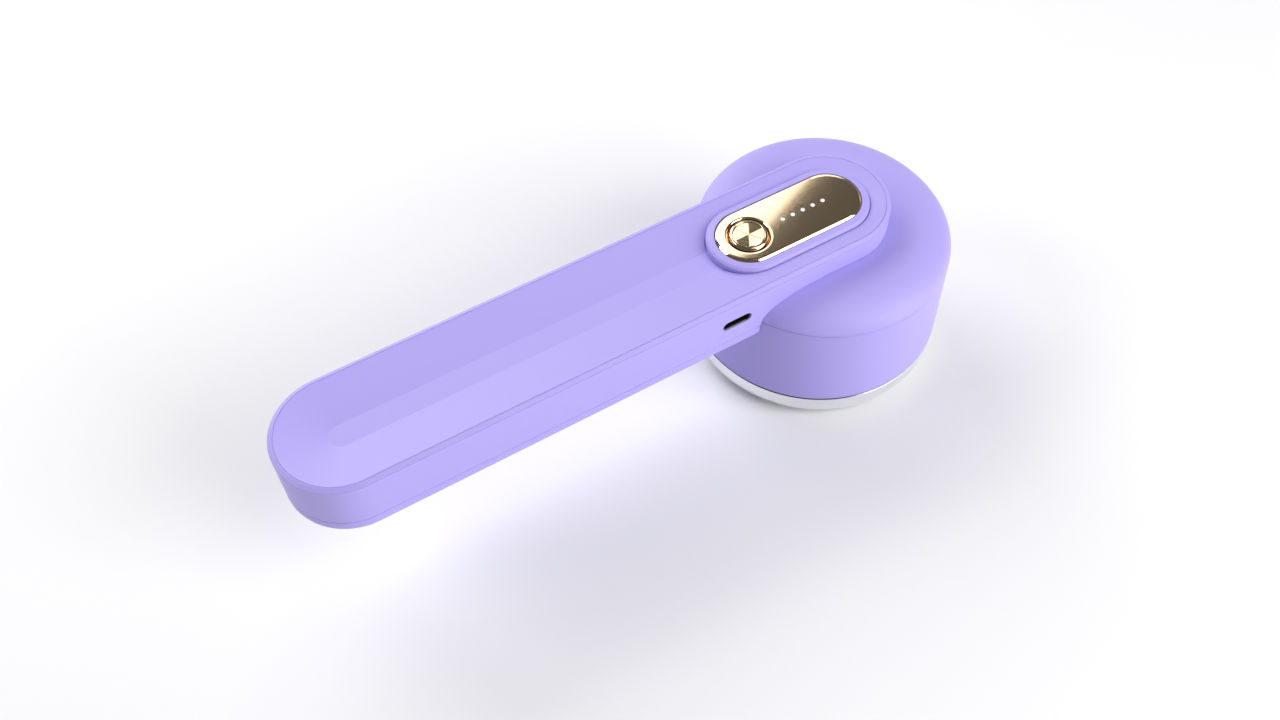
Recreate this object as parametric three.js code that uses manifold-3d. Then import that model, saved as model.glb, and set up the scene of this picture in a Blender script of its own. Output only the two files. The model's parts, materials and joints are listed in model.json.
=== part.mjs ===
// Rechargeable fabric shaver: a slim pill-shaped handle that carries a round shaving head.
// Millimetres, +Z up. The head's axis is the Z axis, the shaving face lies at Z = 0,
// and the handle runs from the head towards -X.
import * as THREE from 'three';
import { mergeVertices, mergeGeometries } from 'three/addons/utils/BufferGeometryUtils.js';
import Module from 'manifold-3d';

const wasm = await Module();
wasm.setup();

// ---------------------------------------------------------------- driving dimensions
const GAP = 0.3;                    // clear space between neighbouring solids
const WALL = 1.8;                   // moulded wall

// Handle: a pill in plan, its tip arc centred on the head's axis
const RIM_Z = 54;                   // outer top edge of the handle
const HALF_WIDTH = 18;
const TAIL_X = -150;                // centre of the tail's arc
const TIP_X = 0;
const CHAMFER_IN = 1.4;
const CHAMFER_UP = 0.8;
const CHANNEL_HALF = 3.3;           // flat channel at the bottom of the dished top
const CHANNEL_Z = 52;
const SEAM_Z = 38.7;                // bottom cover to shell
const BASE_Z = 34.1;                // underside of the handle

// Head
const DRUM_TOP = { r: 37.4, z: 39.4 };
const DRUM_LOW = { r: 38.2, z: 9.4 };
const DOME_EDGE_Z = 39.7;
const DOME_TOP_Z = 47;
const DOME_ROUND = 16;              // horizontal reach of the rounded shoulder
const SLEEVE_IN = 12.6;             // tube that holds the motor in the lint chamber
const SLEEVE_OUT = 14.4;
const SLEEVE_Z = 13;
const SPIGOT_OUT = 35.6;            // neck of the drum that the retaining ring screws onto
const SPIGOT_IN = 33.4;
const SPIGOT_Z = 3.6;
const RING_TOP_Z = 9;
const RING_OUT = 38.1;
const RING_IN = 36.2;

// Quick thread between drum and retaining ring: three lugs on a coarse right-hand helix
const THREAD_LEAD = 24;
const LUG_COUNT = 3;
const LUG = { low: 5.4, high: 7.4, widthDeg: 18, clearDeg: 3 };

// Control panel
const PANEL_TAIL_X = -27;           // the panel's pill runs from here to the head's axis
const PANEL_HALF = 12;
const PLATE_HALF = 9.36;
const PLATE_Z = 55.46;
const BUTTON_R = 5.7;
const BUTTON_HOLE_R = 6.1;

// Foil and cutter
const FOIL_FLAT_R = 27.6;
const FOIL_THICK = 0.3;
const FOIL_RIM_Z = 2.1;             // flange that the ring clamps
const HOLE_PITCH = 7.5;
const HOLE_R = 3.3;
const BLADE_COUNT = 6;
const MOTOR_R = 12;
const MOTOR_LOW_Z = 15;
const MOTOR_HIGH_Z = 41;
const SHAFT_R = 1;

// Charging socket, a USB-C receptacle in the side wall
const PORT = { x: -41.8, z: 46, width: 8.94, height: 3.16, depth: 7.3, wall: 0.35 };

const ROUND = 40;                   // segments round the head's outside
const INNER = 32;                   // segments round the parts inside the head
const MEDIUM = 24;                  // segments round the motor and the button
const ARC = 14;                     // segments round each end of a pill
const SMALL = 10;                   // segments round a small part

// ---------------------------------------------------------------- materials
function finish(color, roughness, metalness) {
  return new THREE.MeshStandardMaterial({ color, roughness, metalness });
}

const LAVENDER = finish(0xb9adf5, 0.5, 0);
const LAVENDER_HEAD = finish(0xb2a6ee, 0.5, 0);
const GOLD = finish(0xd9b27a, 0.2, 1);
const GOLD_BRUSHED = finish(0xe2bd83, 0.3, 1);
const AMBER = finish(0xff7a1c, 0.35, 0);
const STEEL = finish(0xcfd2d6, 0.2, 1);
const CHROME = finish(0xe9ebee, 0.08, 1);
const ZINC = finish(0x9fa3a8, 0.35, 1);
const WHITE_PLASTIC = finish(0xe9e9ef, 0.5, 0);
const GREY_PLASTIC = finish(0x8f8f9a, 0.5, 0);
const BLACK_PLASTIC = finish(0x1c1c20, 0.45, 0);
const RUBBER = finish(0x3a3a40, 0.85, 0);
const BOARD = finish(0x1f6b45, 0.45, 0);
const COPPER = finish(0xb5672f, 0.4, 1);
const POUCH = finish(0xb9bcc2, 0.3, 0.6);
const FOAM = finish(0x2c2c30, 0.95, 0);
const RED_WIRE = finish(0xc62828, 0.5, 0);
const BLACK_WIRE = finish(0x18181a, 0.5, 0);

// ---------------------------------------------------------------- geometry helpers
const v2 = (x, y) => new THREE.Vector2(x, y);
const v3 = (x, y, z) => new THREE.Vector3(x, y, z);

// A closed mesh as a manifold solid, with its faces turned outwards
function solid(geometry) {
  const bare = geometry.clone();
  bare.deleteAttribute('normal');
  bare.deleteAttribute('uv');
  const merged = mergeVertices(bare, 1e-4);
  const source = merged.index.array;
  const triangles = [];
  for (let i = 0; i < source.length; i += 3) {
    const [a, b, c] = [source[i], source[i + 1], source[i + 2]];
    if (a !== b && b !== c && c !== a) triangles.push(a, b, c);
  }
  const make = (indices) => new wasm.Manifold(new wasm.Mesh({
    numProp: 3,
    vertProperties: new Float32Array(merged.attributes.position.array),
    triVerts: new Uint32Array(indices),
  }));
  const volume = signedVolume(merged.attributes.position.array, triangles);
  return make(volume > 0 ? triangles : triangles.reverse());
}

function signedVolume(p, triangles) {
  let sum = 0;
  for (let i = 0; i < triangles.length; i += 3) {
    const [a, b, c] = [triangles[i] * 3, triangles[i + 1] * 3, triangles[i + 2] * 3];
    sum += p[a] * (p[b + 1] * p[c + 2] - p[b + 2] * p[c + 1])
      - p[a + 1] * (p[b] * p[c + 2] - p[b + 2] * p[c])
      + p[a + 2] * (p[b] * p[c + 1] - p[b + 1] * p[c]);
  }
  return sum / 6;
}

function geometryOf(manifold) {
  const mesh = manifold.getMesh();
  const geometry = new THREE.BufferGeometry();
  geometry.setAttribute('position', new THREE.BufferAttribute(new Float32Array(mesh.vertProperties), 3));
  geometry.setIndex(new THREE.BufferAttribute(new Uint32Array(mesh.triVerts), 1));
  geometry.computeVertexNormals();
  return geometry;
}

const join = (first, ...rest) => rest.reduce((sum, piece) => sum.add(piece), first);
const cut = (first, ...rest) => rest.reduce((left, piece) => left.subtract(piece), first);

// Turns a profile of [radius, z] points round the Z axis; repeat the first point to make a ring
function turned(profile, segments = ROUND) {
  const points = profile.map(([r, z]) => v2(r, z));
  return solid(new THREE.LatheGeometry(points, segments).rotateX(Math.PI / 2));
}

const ringTurned = (profile, segments = ROUND) => turned([...profile, profile[0]], segments);
const disc = (r, z0, z1, segments = SMALL) => turned([[0, z0], [r, z0], [r, z1], [0, z1]], segments);

function box(x0, x1, y0, y1, z0, z1) {
  const block = new THREE.BoxGeometry(x1 - x0, y1 - y0, z1 - z0);
  return solid(block.translate((x0 + x1) / 2, (y0 + y1) / 2, (z0 + z1) / 2));
}

// One level of a pill: two half circles joined by straight sides
function pillLoop(half, z, x0, x1) {
  const points = [];
  for (const [centre, start] of [[x0, Math.PI / 2], [x1, -Math.PI / 2]]) {
    for (let i = 0; i <= ARC; i += 1) {
      const angle = start + (Math.PI * i) / ARC;
      points.push(v3(centre + half * Math.cos(angle), half * Math.sin(angle), z));
    }
  }
  return points;
}

// Sweeps a profile of [half width, z] points round a pill. An open profile is capped at both
// ends; a ring's profile closes on itself.
function pill(profile, x0, x1, ring = false) {
  const loops = profile.map(([half, z]) => pillLoop(half, z, x0, x1));
  const count = loops[0].length;
  const positions = loops.flat().flatMap((p) => [p.x, p.y, p.z]);
  const index = [];
  const bands = ring ? loops.length : loops.length - 1;
  for (let band = 0; band < bands; band += 1) {
    const low = band * count;
    const high = ((band + 1) % loops.length) * count;
    for (let i = 0; i < count; i += 1) {
      const j = (i + 1) % count;
      index.push(low + i, low + j, high + j, low + i, high + j, high + i);
    }
  }
  if (!ring) {
    const faces = THREE.ShapeUtils.triangulateShape(loops[0].map((p) => v2(p.x, p.y)), []);
    const top = (loops.length - 1) * count;
    for (const [a, b, c] of faces) index.push(a, c, b, top + a, top + b, top + c);
  }
  const geometry = new THREE.BufferGeometry();
  geometry.setAttribute('position', new THREE.Float32BufferAttribute(positions, 3));
  geometry.setIndex(index);
  return solid(geometry);
}

const pillBlock = (half, z0, z1, x0, x1) => pill([[half, z0], [half, z1]], x0, x1);

function extruded(shape, z0, z1, options = {}) {
  const settings = { depth: z1 - z0, bevelEnabled: false, curveSegments: 8, ...options };
  return new THREE.ExtrudeGeometry(shape, settings).translate(0, 0, z0);
}

// Part of a ring between two radii and two angles in degrees
function sectorShape(r0, r1, fromDeg, toDeg) {
  const [a, b] = [fromDeg, toDeg].map(THREE.MathUtils.degToRad);
  const shape = new THREE.Shape();
  shape.absarc(0, 0, r1, a, b, false);
  shape.absarc(0, 0, r0, b, a, true);
  return shape;
}

function polygonShape(radius, sides, turn = 0) {
  const points = [];
  for (let i = 0; i < sides; i += 1) {
    const angle = turn + (2 * Math.PI * i) / sides;
    points.push(v2(radius * Math.cos(angle), radius * Math.sin(angle)));
  }
  return new THREE.Shape(points);
}

// A round or flat strand along a curve
function strand(curve, section, steps) {
  return solid(new THREE.ExtrudeGeometry(section, { steps, extrudePath: curve, bevelEnabled: false }));
}

const wire = (points, radius, steps) =>
  strand(new THREE.CatmullRomCurve3(points), polygonShape(radius, 6), steps);

class Helix extends THREE.Curve {
  constructor(radius, z0, z1, turns) {
    super();
    Object.assign(this, { radius, z0, z1, turns });
  }

  getPoint(t, target = new THREE.Vector3()) {
    const angle = 2 * Math.PI * this.turns * t;
    const z = THREE.MathUtils.lerp(this.z0, this.z1, t);
    return target.set(this.radius * Math.cos(angle), this.radius * Math.sin(angle), z);
  }
}

function coil(radius, wireRadius, z0, z1, turns) {
  const curve = new Helix(radius, z0 + wireRadius, z1 - wireRadius, turns);
  return strand(curve, polygonShape(wireRadius, 5), Math.round(turns * 12));
}

// A sector extruded along Z and then twisted, so that it follows the quick thread's helix
function threadRib(r0, r1, z0, z1, widthDeg, atDeg) {
  const shape = sectorShape(r0, r1, atDeg - widthDeg / 2, atDeg + widthDeg / 2);
  const stepDeg = 8;
  const steps = Math.ceil((360 * (z1 - z0)) / THREAD_LEAD / stepDeg);
  const geometry = extruded(shape, z0, z1, { steps, curveSegments: 3 });
  const position = geometry.attributes.position;
  const point = new THREE.Vector3();
  for (let i = 0; i < position.count; i += 1) {
    point.fromBufferAttribute(position, i);
    point.applyAxisAngle(v3(0, 0, 1), (2 * Math.PI * point.z) / THREAD_LEAD);
    position.setXYZ(i, point.x, point.y, point.z);
  }
  return solid(geometry);
}

const lugAngles = Array.from({ length: LUG_COUNT }, (_, i) => (360 * i) / LUG_COUNT);

// ---------------------------------------------------------------- scene helpers
const shaver = new THREE.Group();

function add(name, shape, material, parent = shaver) {
  const mesh = new THREE.Mesh(geometryOf(shape), material);
  mesh.name = name;
  parent.add(mesh);
  return mesh;
}

// A pan-head screw whose tip points up, with its head's seat at local z = 0
function screw(name, x, y, z, length, headR = 1.9, headHeight = 1.2) {
  const recess = solid(extruded(polygonShape(0.8, 4), -headHeight - 1, -headHeight + 0.6));
  const head = disc(headR, -headHeight, 0);
  const shank = turned([[0, -0.2], [1, -0.2], [1, length - 1], [0.3, length], [0, length]], 8);
  const mesh = add(name, cut(join(head, shank), recess), STEEL);
  mesh.position.set(x, y, z);
}

// An upright cylinder, for a post or for the hole that a screw goes through
const upright = (x, y, r, z0, z1) => disc(r, z0, z1).translate([x, y, 0]);

// ---------------------------------------------------------------- positions used by several parts
const PILOT_R = 1.3;                // hole that a screw cuts its thread in
const CLEAR_R = 1.4;                // hole that a screw passes through
const PLUNGER_HOLE_R = 2.1;
const NECK_SCREWS = [[-14, 13], [-14, -13], [13, 0]];        // head dome to top cover
const COVER_SCREWS = [-146, -72].flatMap((x) => [[x, 12.6], [x, -12.6]]);
const BOARD_STAKES = [[-36, 5.2], [-36, -5.2]];              // pins that hold the button board
const BUTTON_BOARD_Z = 48.6;
const BULKHEAD_SCREWS = [30, 150, 270].map((deg) => {
  const angle = THREE.MathUtils.degToRad(deg);
  return [26 * Math.cos(angle), 26 * Math.sin(angle)];
});
const MOTOR_SCREWS = [[0, 8], [0, -8]];
const MOTOR_LEAD_HOLE = { x: -21, y: 10.5, r: 2.6 };

// The dome's outer profile, shrunk or grown by an offset, from its edge to the axis
function domeProfile(offset, steps) {
  const centre = DRUM_TOP.r - DOME_ROUND;
  const reach = DOME_ROUND + offset;
  const rise = DOME_TOP_Z - DOME_EDGE_Z + offset;
  const points = [];
  for (let i = 0; i <= steps; i += 1) {
    const angle = (Math.PI / 2) * (i / steps);
    points.push([centre + reach * Math.cos(angle), DOME_EDGE_Z + rise * Math.sin(angle)]);
  }
  return points;
}

// Everything that the head fills, with clearance, for cutting the handle's parts
function headSpace() {
  const clear = domeProfile(GAP, 6);
  return turned([[0, 0], [DRUM_TOP.r + 0.6, 0], [DRUM_TOP.r + 0.6, DOME_EDGE_Z - 0.1], ...clear,
    [0, DOME_TOP_Z + GAP]]);
}

// ---------------------------------------------------------------- handle
function topCover() {
  const rimIn = HALF_WIDTH - CHAMFER_IN;
  const lipOut = HALF_WIDTH - WALL - 0.4;   // locating lip inside the shell's wall
  const lipIn = lipOut - 1.4;
  const lipZ = RIM_Z - 3;
  const blank = pill([
    [CHANNEL_HALF, CHANNEL_Z - 1.7], [lipIn, RIM_Z - 1.5], [lipIn, lipZ], [lipOut, lipZ], [lipOut, RIM_Z],
    [HALF_WIDTH - 0.05, RIM_Z], [rimIn, RIM_Z + CHAMFER_UP], [CHANNEL_HALF, CHANNEL_Z],
  ], TAIL_X, TIP_X);
  const floor = pillBlock(PANEL_HALF + 1.9, CHANNEL_Z - 1.8, CHANNEL_Z - 0.05, PANEL_TAIL_X, TIP_X);
  const rootZ = CHANNEL_Z - 0.2;            // where the posts grow out of the floor
  const bosses = NECK_SCREWS.map(([x, y]) => upright(x, y, 2.6, DOME_TOP_Z + GAP + 0.1, rootZ));
  const stakes = BOARD_STAKES.flatMap(([x, y]) => [
    upright(x, y, 1.9, BUTTON_BOARD_Z + 0.1, rootZ),
    upright(x, y, 1, BUTTON_BOARD_Z - 1.5, rootZ),
  ]);
  const pocket = pillBlock(PANEL_HALF + 0.15, CHANNEL_Z - 0.1, RIM_Z + 4, PANEL_TAIL_X, TIP_X);
  const holes = NECK_SCREWS.map(([x, y]) => upright(x, y, PILOT_R, DOME_TOP_Z - 1, CHANNEL_Z - 0.7));
  const plungerHole = upright(PANEL_TAIL_X, 0, PLUNGER_HOLE_R, 40, 60);
  return cut(join(blank, floor, ...bosses, ...stakes), pocket, ...holes, plungerHole);
}

function handleShell() {
  const wallIn = HALF_WIDTH - WALL;
  const wall = pill([
    [HALF_WIDTH - 0.1, SEAM_Z + 0.1], [HALF_WIDTH, RIM_Z - 0.2],
    [wallIn, RIM_Z - 0.2], [wallIn - 0.1, SEAM_Z + 0.1],
  ], TAIL_X, TIP_X, true);
  const [postLow, postHigh] = [SEAM_Z + 1.2, 49];
  const posts = COVER_SCREWS.flatMap(([x, y]) => {
    const [webLow, webHigh] = y > 0 ? [y, wallIn + 0.5] : [-wallIn - 0.5, y];
    return [upright(x, y, 2.7, postLow, postHigh), box(x - 1, x + 1, webLow, webHigh, postLow, postHigh)];
  });
  const holes = COVER_SCREWS.map(([x, y]) => upright(x, y, PILOT_R, SEAM_Z - 1, postHigh - 1.5));
  const portHole = portBlock(PORT.width + 0.7, PORT.height + 0.7, 4, -HALF_WIDTH - 2);
  return cut(join(wall, ...posts), headSpace(), portHole, ...holes);
}

function bottomCover() {
  const wallIn = HALF_WIDTH - WALL;
  const edge = 2.2;                 // rounded lower edge
  const rounded = [];
  for (let i = 0; i <= 5; i += 1) {
    const angle = (Math.PI / 2) * (i / 5);
    rounded.push([HALF_WIDTH - 0.1 - edge + edge * Math.sin(angle), BASE_Z + edge - edge * Math.cos(angle)]);
  }
  const outside = pill([...rounded, [HALF_WIDTH - 0.1, SEAM_Z - 0.1]], TAIL_X, TIP_X);
  const lipOut = wallIn - GAP;
  const lip = pill([[lipOut, SEAM_Z - 1], [lipOut, SEAM_Z + 0.9], [lipOut - 1.2, SEAM_Z + 0.9],
    [lipOut - 1.2, SEAM_Z - 1]], TAIL_X, TIP_X, true);
  const hollow = pillBlock(lipOut - 0.6, BASE_Z + WALL, SEAM_Z + 4, TAIL_X, TIP_X);
  const tray = cut(outside, hollow).add(lip);
  const inside = pillBlock(lipOut - 0.4, BASE_Z + 1, 41.5, TAIL_X, TIP_X);
  const clear = DRUM_TOP.r + 0.6;
  const neck = ringTurned([[clear - 1, BASE_Z], [clear + WALL, BASE_Z], [clear + WALL, 41.5],
    [clear - 1, 41.5]]).intersect(inside);
  const backHalf = box(-60, -20, -20, 20, 30, 45);
  const ribs = [-58, -44].map((x) => box(x - 0.8, x + 0.8, -12, 12, BASE_Z + 1, 42.8));
  const cradle = [-132, -110, -88].map((x) => box(x - 0.8, x + 0.8, -13, 13, BASE_Z + 1, 38));
  const bores = COVER_SCREWS.flatMap(([x, y]) => [
    upright(x, y, CLEAR_R, BASE_Z - 1, SEAM_Z + 2), upright(x, y, 2.4, BASE_Z - 1, BASE_Z + 1.9)]);
  const pads = COVER_SCREWS.map(([x, y]) => upright(x, y, 3.3, BASE_Z + 1, SEAM_Z + 0.8));
  return cut(join(tray, neck.intersect(backHalf), ...ribs, ...cradle, ...pads), headSpace(), ...bores);
}

function controlBezel() {
  const plateWall = PLATE_HALF + 0.24;
  const floorZ = 53.8;
  const tray = pill([
    [PANEL_HALF - 0.15, CHANNEL_Z], [PANEL_HALF, 54.2], [PANEL_HALF - 0.7, 54.9], [plateWall + 0.35, 55.2],
    [plateWall, 55.2], [plateWall, floorZ],
  ], PANEL_TAIL_X, TIP_X);
  return cut(tray, disc(6.95, 50, 60, MEDIUM).translate([PANEL_TAIL_X, 0, 0]));
}

function goldPlate() {
  const bevel = 0.4;
  const plate = pill([
    [PLATE_HALF, 53.9], [PLATE_HALF, PLATE_Z - bevel], [PLATE_HALF - bevel, PLATE_Z],
  ], PANEL_TAIL_X, TIP_X);
  return cut(plate, disc(BUTTON_HOLE_R, 50, 60, MEDIUM).translate([PANEL_TAIL_X, 0, 0]));
}

// ---------------------------------------------------------------- button and its switch
function addButton() {
  const group = new THREE.Group();
  group.position.set(PANEL_TAIL_X, 0, 0);
  shaver.add(group);
  add('button_cap', turned([
    [0, 50.75], [1.6, 50.75], [1.6, 54.5], [5, 54.5], [5, 53.3], [BUTTON_R, 53.3], [BUTTON_R, 55.2],
    [5.3, 55.8], [4.7, 56], [4.55, 55.9], [4.55, 55.1], [0, 55.1],
  ], MEDIUM), GOLD, group);
  add('button_inlay', disc(4.45, 55.2, 55.9, MEDIUM), GOLD_BRUSHED, group);
  add('button_spring', coil(3.4, 0.22, 52, 54.4, 3), STEEL, group);
  add('light_ring', ringTurned([[5.95, 52.1], [6.7, 52.1], [6.7, 53.7], [5.95, 53.7]], MEDIUM), AMBER, group);
  add('switch_plunger', disc(1.1, 49.5, 50.6), BLACK_PLASTIC, group);
  const switchBody = cut(box(-3, 3, -3, 3, 48.7, 49.9), disc(1.5, 48.95, 51));
  add('tact_switch', switchBody, ZINC, group);
  add('button_board', cut(box(-11, 8, -6.8, 6.8, BUTTON_BOARD_Z - 1, BUTTON_BOARD_Z),
    ...BOARD_STAKES.map(([x, y]) => upright(x - PANEL_TAIL_X, y, 1.3, 46, 50))), BOARD, group);
}

// ---------------------------------------------------------------- charging socket and electronics
// A block with round ends, lying along X and going in along +Y from a given depth
function portBlock(width, height, depth, y0) {
  const shape = new THREE.Shape();
  const straight = (width - height) / 2;
  shape.absarc(straight, 0, height / 2, -Math.PI / 2, Math.PI / 2, false);
  shape.absarc(-straight, 0, height / 2, Math.PI / 2, (3 * Math.PI) / 2, false);
  const block = extruded(shape, 0, depth).rotateX(-Math.PI / 2);
  return solid(block.translate(PORT.x, y0, PORT.z));
}

function addElectronics() {
  const front = -HALF_WIDTH + 0.3;
  const sleeve = portBlock(PORT.width, PORT.height, PORT.depth, front);
  const [widthIn, heightIn] = [PORT.width - 2 * PORT.wall, PORT.height - 2 * PORT.wall];
  add('usb_socket', cut(sleeve, portBlock(widthIn, heightIn, PORT.depth + 0.5, front - 1)), STEEL);
  add('usb_tongue', box(PORT.x - 3.3, PORT.x + 3.3, front + 1, front + PORT.depth - 1,
    PORT.z - 0.35, PORT.z + 0.35), BLACK_PLASTIC);
  const boardTop = 44.2;
  add('main_board', box(-64, -36.9, -14.5, 14.5, boardTop - 1.2, boardTop), BOARD);
  add('control_chip', box(-56, -51, -3, 2, boardTop + 0.1, boardTop + 1.2), BLACK_PLASTIC);
  add('smoothing_capacitor', disc(2.5, 0, 4.6, SMALL).translate([-50, 10, boardTop + 0.1]), ZINC);
  add('battery_plug', box(-63.5, -58.5, -9, -3, boardTop + 0.1, boardTop + 4), WHITE_PLASTIC);
  add('motor_plug', box(-44, -39, 5, 11, boardTop + 0.1, boardTop + 3.2), WHITE_PLASTIC);
  const ribbonSection = new THREE.Shape([v2(-2.5, -0.15), v2(2.5, -0.15), v2(2.5, 0.15), v2(-2.5, 0.15)]);
  const ribbonPath = new THREE.CatmullRomCurve3([
    v3(-38.4, -1, 48.1), v3(-40, -1, 48), v3(-41.4, -1, 47), v3(-42, -1, 45.8), v3(-42, -1, 44.6)]);
  add('ribbon_cable', strand(ribbonPath, ribbonSection, 12), WHITE_PLASTIC);
}

function addBattery() {
  const outline = new THREE.Shape();
  const [long, wide, corner] = [29, 12, 2];
  outline.absarc(long - corner, wide - corner, corner, 0, Math.PI / 2, false);
  outline.absarc(-long + corner, wide - corner, corner, Math.PI / 2, Math.PI, false);
  outline.absarc(-long + corner, -wide + corner, corner, Math.PI, 1.5 * Math.PI, false);
  outline.absarc(long - corner, -wide + corner, corner, 1.5 * Math.PI, 2 * Math.PI, false);
  const pouch = extruded(outline, 39, 46.4, {
    curveSegments: 3,
    bevelEnabled: true,
    bevelThickness: 0.6,
    bevelSize: 0.6,
    bevelOffset: -0.6,
    bevelSegments: 2,
  });
  add('battery', solid(pouch), POUCH).position.set(-110, 0, 0);
  add('battery_pad', box(-134, -86, -9, 9, 47.2, 49.9), FOAM);
  const lead = (y, plugY) => wire([
    v3(-80.8, y, 43), v3(-77, y, 43), v3(-72, y - 1, 44.5), v3(-67, plugY, 46.4), v3(-63.8, plugY, 46.6),
  ], 0.6, 14);
  add('battery_lead_red', lead(2, -5), RED_WIRE);
  add('battery_lead_black', lead(-2, -7.2), BLACK_WIRE);
}

// ---------------------------------------------------------------- head housing
function headDome() {
  const shell = turned([[DRUM_TOP.r - WALL, DOME_EDGE_Z], ...domeProfile(0, 6), [0, DOME_TOP_Z],
    [0, DOME_TOP_Z - WALL], ...domeProfile(-WALL, 4).reverse()]);
  const bosses = BULKHEAD_SCREWS.map(([x, y]) => upright(x, y, 2.8, 41.7, DOME_TOP_Z - WALL + 0.2));
  const blind = BULKHEAD_SCREWS.map(([x, y]) => upright(x, y, PILOT_R, 40, 45));
  const through = NECK_SCREWS.map(([x, y]) => upright(x, y, CLEAR_R, 40, 50));
  const { x, y, r } = MOTOR_LEAD_HOLE;
  return cut(join(shell, ...bosses), ...blind, ...through, upright(x, y, r, 40, 50));
}

// The chamber's ceiling, the tube that holds the motor, and the neck that the drum slides onto
function motorBulkhead() {
  const ceilingLow = 39.9;
  const ceilingHigh = 41.4;
  const body = ringTurned([
    [4.2, SLEEVE_Z], [SLEEVE_OUT - 1.5, SLEEVE_Z], [SLEEVE_OUT, SLEEVE_Z + 1.5], [SLEEVE_OUT, ceilingLow],
    [33.2, ceilingLow], [33.2, 34.4], [34.4, 34.4], [35, 35.2],
    [35, 36.3], [34.2, 36.3], [34.2, 37.9], [35, 37.9],
    [35, ceilingLow + 0.2], [34.2, ceilingLow + 0.8], [34.2, ceilingHigh],
    [SLEEVE_IN, ceilingHigh], [SLEEVE_IN, SLEEVE_Z + 1.7], [4.2, SLEEVE_Z + 1.7],
  ], INNER);
  const holes = [
    ...BULKHEAD_SCREWS.map(([x, y]) => upright(x, y, CLEAR_R, 36, 44)),
    ...MOTOR_SCREWS.map(([x, y]) => upright(x, y, CLEAR_R, 10, 20)),
  ];
  return cut(body, ...holes);
}

function addHeadHousing() {
  add('head_dome', headDome(), LAVENDER_HEAD);
  add('motor_bulkhead', motorBulkhead(), WHITE_PLASTIC);
  const seal = { r: 34.9, z: 37.1, halfWidth: 0.45, halfHeight: 0.6, sides: 6 };
  const section = [];
  for (let i = 0; i < seal.sides; i += 1) {
    const angle = (2 * Math.PI * i) / seal.sides;
    section.push([seal.r + seal.halfWidth * Math.cos(angle), seal.z + seal.halfHeight * Math.sin(angle)]);
  }
  add('drum_seal', ringTurned(section, INNER), RUBBER);
  BULKHEAD_SCREWS.forEach(([x, y], i) => screw(`bulkhead_screw_${i + 1}`, x, y, 39.8, 4.8));
  NECK_SCREWS.forEach(([x, y], i) => screw(`neck_screw_${i + 1}`, x, y, 45.1, 5.6));
  COVER_SCREWS.forEach(([x, y], i) => screw(`cover_screw_${i + 1}`, x, y, BASE_Z + 1.8, 9.6));
  MOTOR_SCREWS.forEach(([x, y], i) => screw(`motor_screw_${i + 1}`, x, y, SLEEVE_Z - 0.1, 4));
}

// ---------------------------------------------------------------- motor
function addMotor() {
  const inner = MOTOR_R - 0.8;
  const can = ringTurned([
    [1.3, 13.6], [3.2, 13.6], [3.2, MOTOR_LOW_Z], [MOTOR_R, MOTOR_LOW_Z], [MOTOR_R, MOTOR_HIGH_Z],
    [inner, MOTOR_HIGH_Z], [inner, MOTOR_LOW_Z + 1], [1.3, MOTOR_LOW_Z + 1],
  ], MEDIUM);
  add('motor_can', cut(can, ...MOTOR_SCREWS.map(([x, y]) => upright(x, y, PILOT_R, 12, 18))), ZINC);
  add('motor_end_cap', turned([
    [0, 43.9], [MOTOR_R - 1.5, 43.9], [MOTOR_R, 43.2], [MOTOR_R, MOTOR_HIGH_Z + 0.1],
    [inner - 0.2, MOTOR_HIGH_Z + 0.1], [inner - 0.2, 39.4], [9.8, 39.4], [9.8, 41.3],
    [1.3, 41.3], [1.3, 43.1], [0, 43.1],
  ], MEDIUM), BLACK_PLASTIC);
  [0, 180].forEach((turn, i) => {
    const magnet = extruded(sectorShape(9.6, inner - 0.2, -58, 58), 19, 37, { curveSegments: 10 });
    add(`motor_magnet_${i + 1}`, solid(magnet.rotateZ(THREE.MathUtils.degToRad(turn))), RUBBER);
  });
  const core = solid(extruded(polygonShape(9, MEDIUM), 21, 35));
  const slots = [0, 120, 240].map((deg) => box(4, 12, -1, 1, 20, 36).rotate([0, 0, deg]));
  const windings = disc(6.6, 18.6, 37.4, MEDIUM);
  const commutator = disc(2.8, 37.2, 40.6, SMALL);
  const bore = disc(SHAFT_R + 0.15, 10, 45, SMALL);
  add('motor_armature', cut(join(cut(core, ...slots), windings, commutator), bore), COPPER);
  const shaft = [[0, 5], [SHAFT_R - 0.2, 5], [SHAFT_R, 5.3], [SHAFT_R, 42.8], [0, 42.8]];
  add('motor_shaft', turned(shaft, SMALL), STEEL);
  const lead = (side) => wire([
    v3(-7, 4 + side, 44.5), v3(-12, 7 + side, 44.3), v3(-17, 9.8 + side * 0.8, 44.2),
    v3(-20, 10.5 + side * 0.8, 44.8), v3(-21.4, 10.5 + side * 0.8, 46.6), v3(-23.5, 10.5 + side * 0.8, 48.3),
    v3(-28, 10.4 + side, 48.8), v3(-34, 10 + side, 48.8),
    v3(-38.5, 8.6 + side, 48.5), v3(-41.5, 8 + side, 48.1),
  ], 0.5, 22);
  add('motor_lead_red', lead(0.9), RED_WIRE);
  add('motor_lead_black', lead(-0.9), BLACK_WIRE);
}

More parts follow.
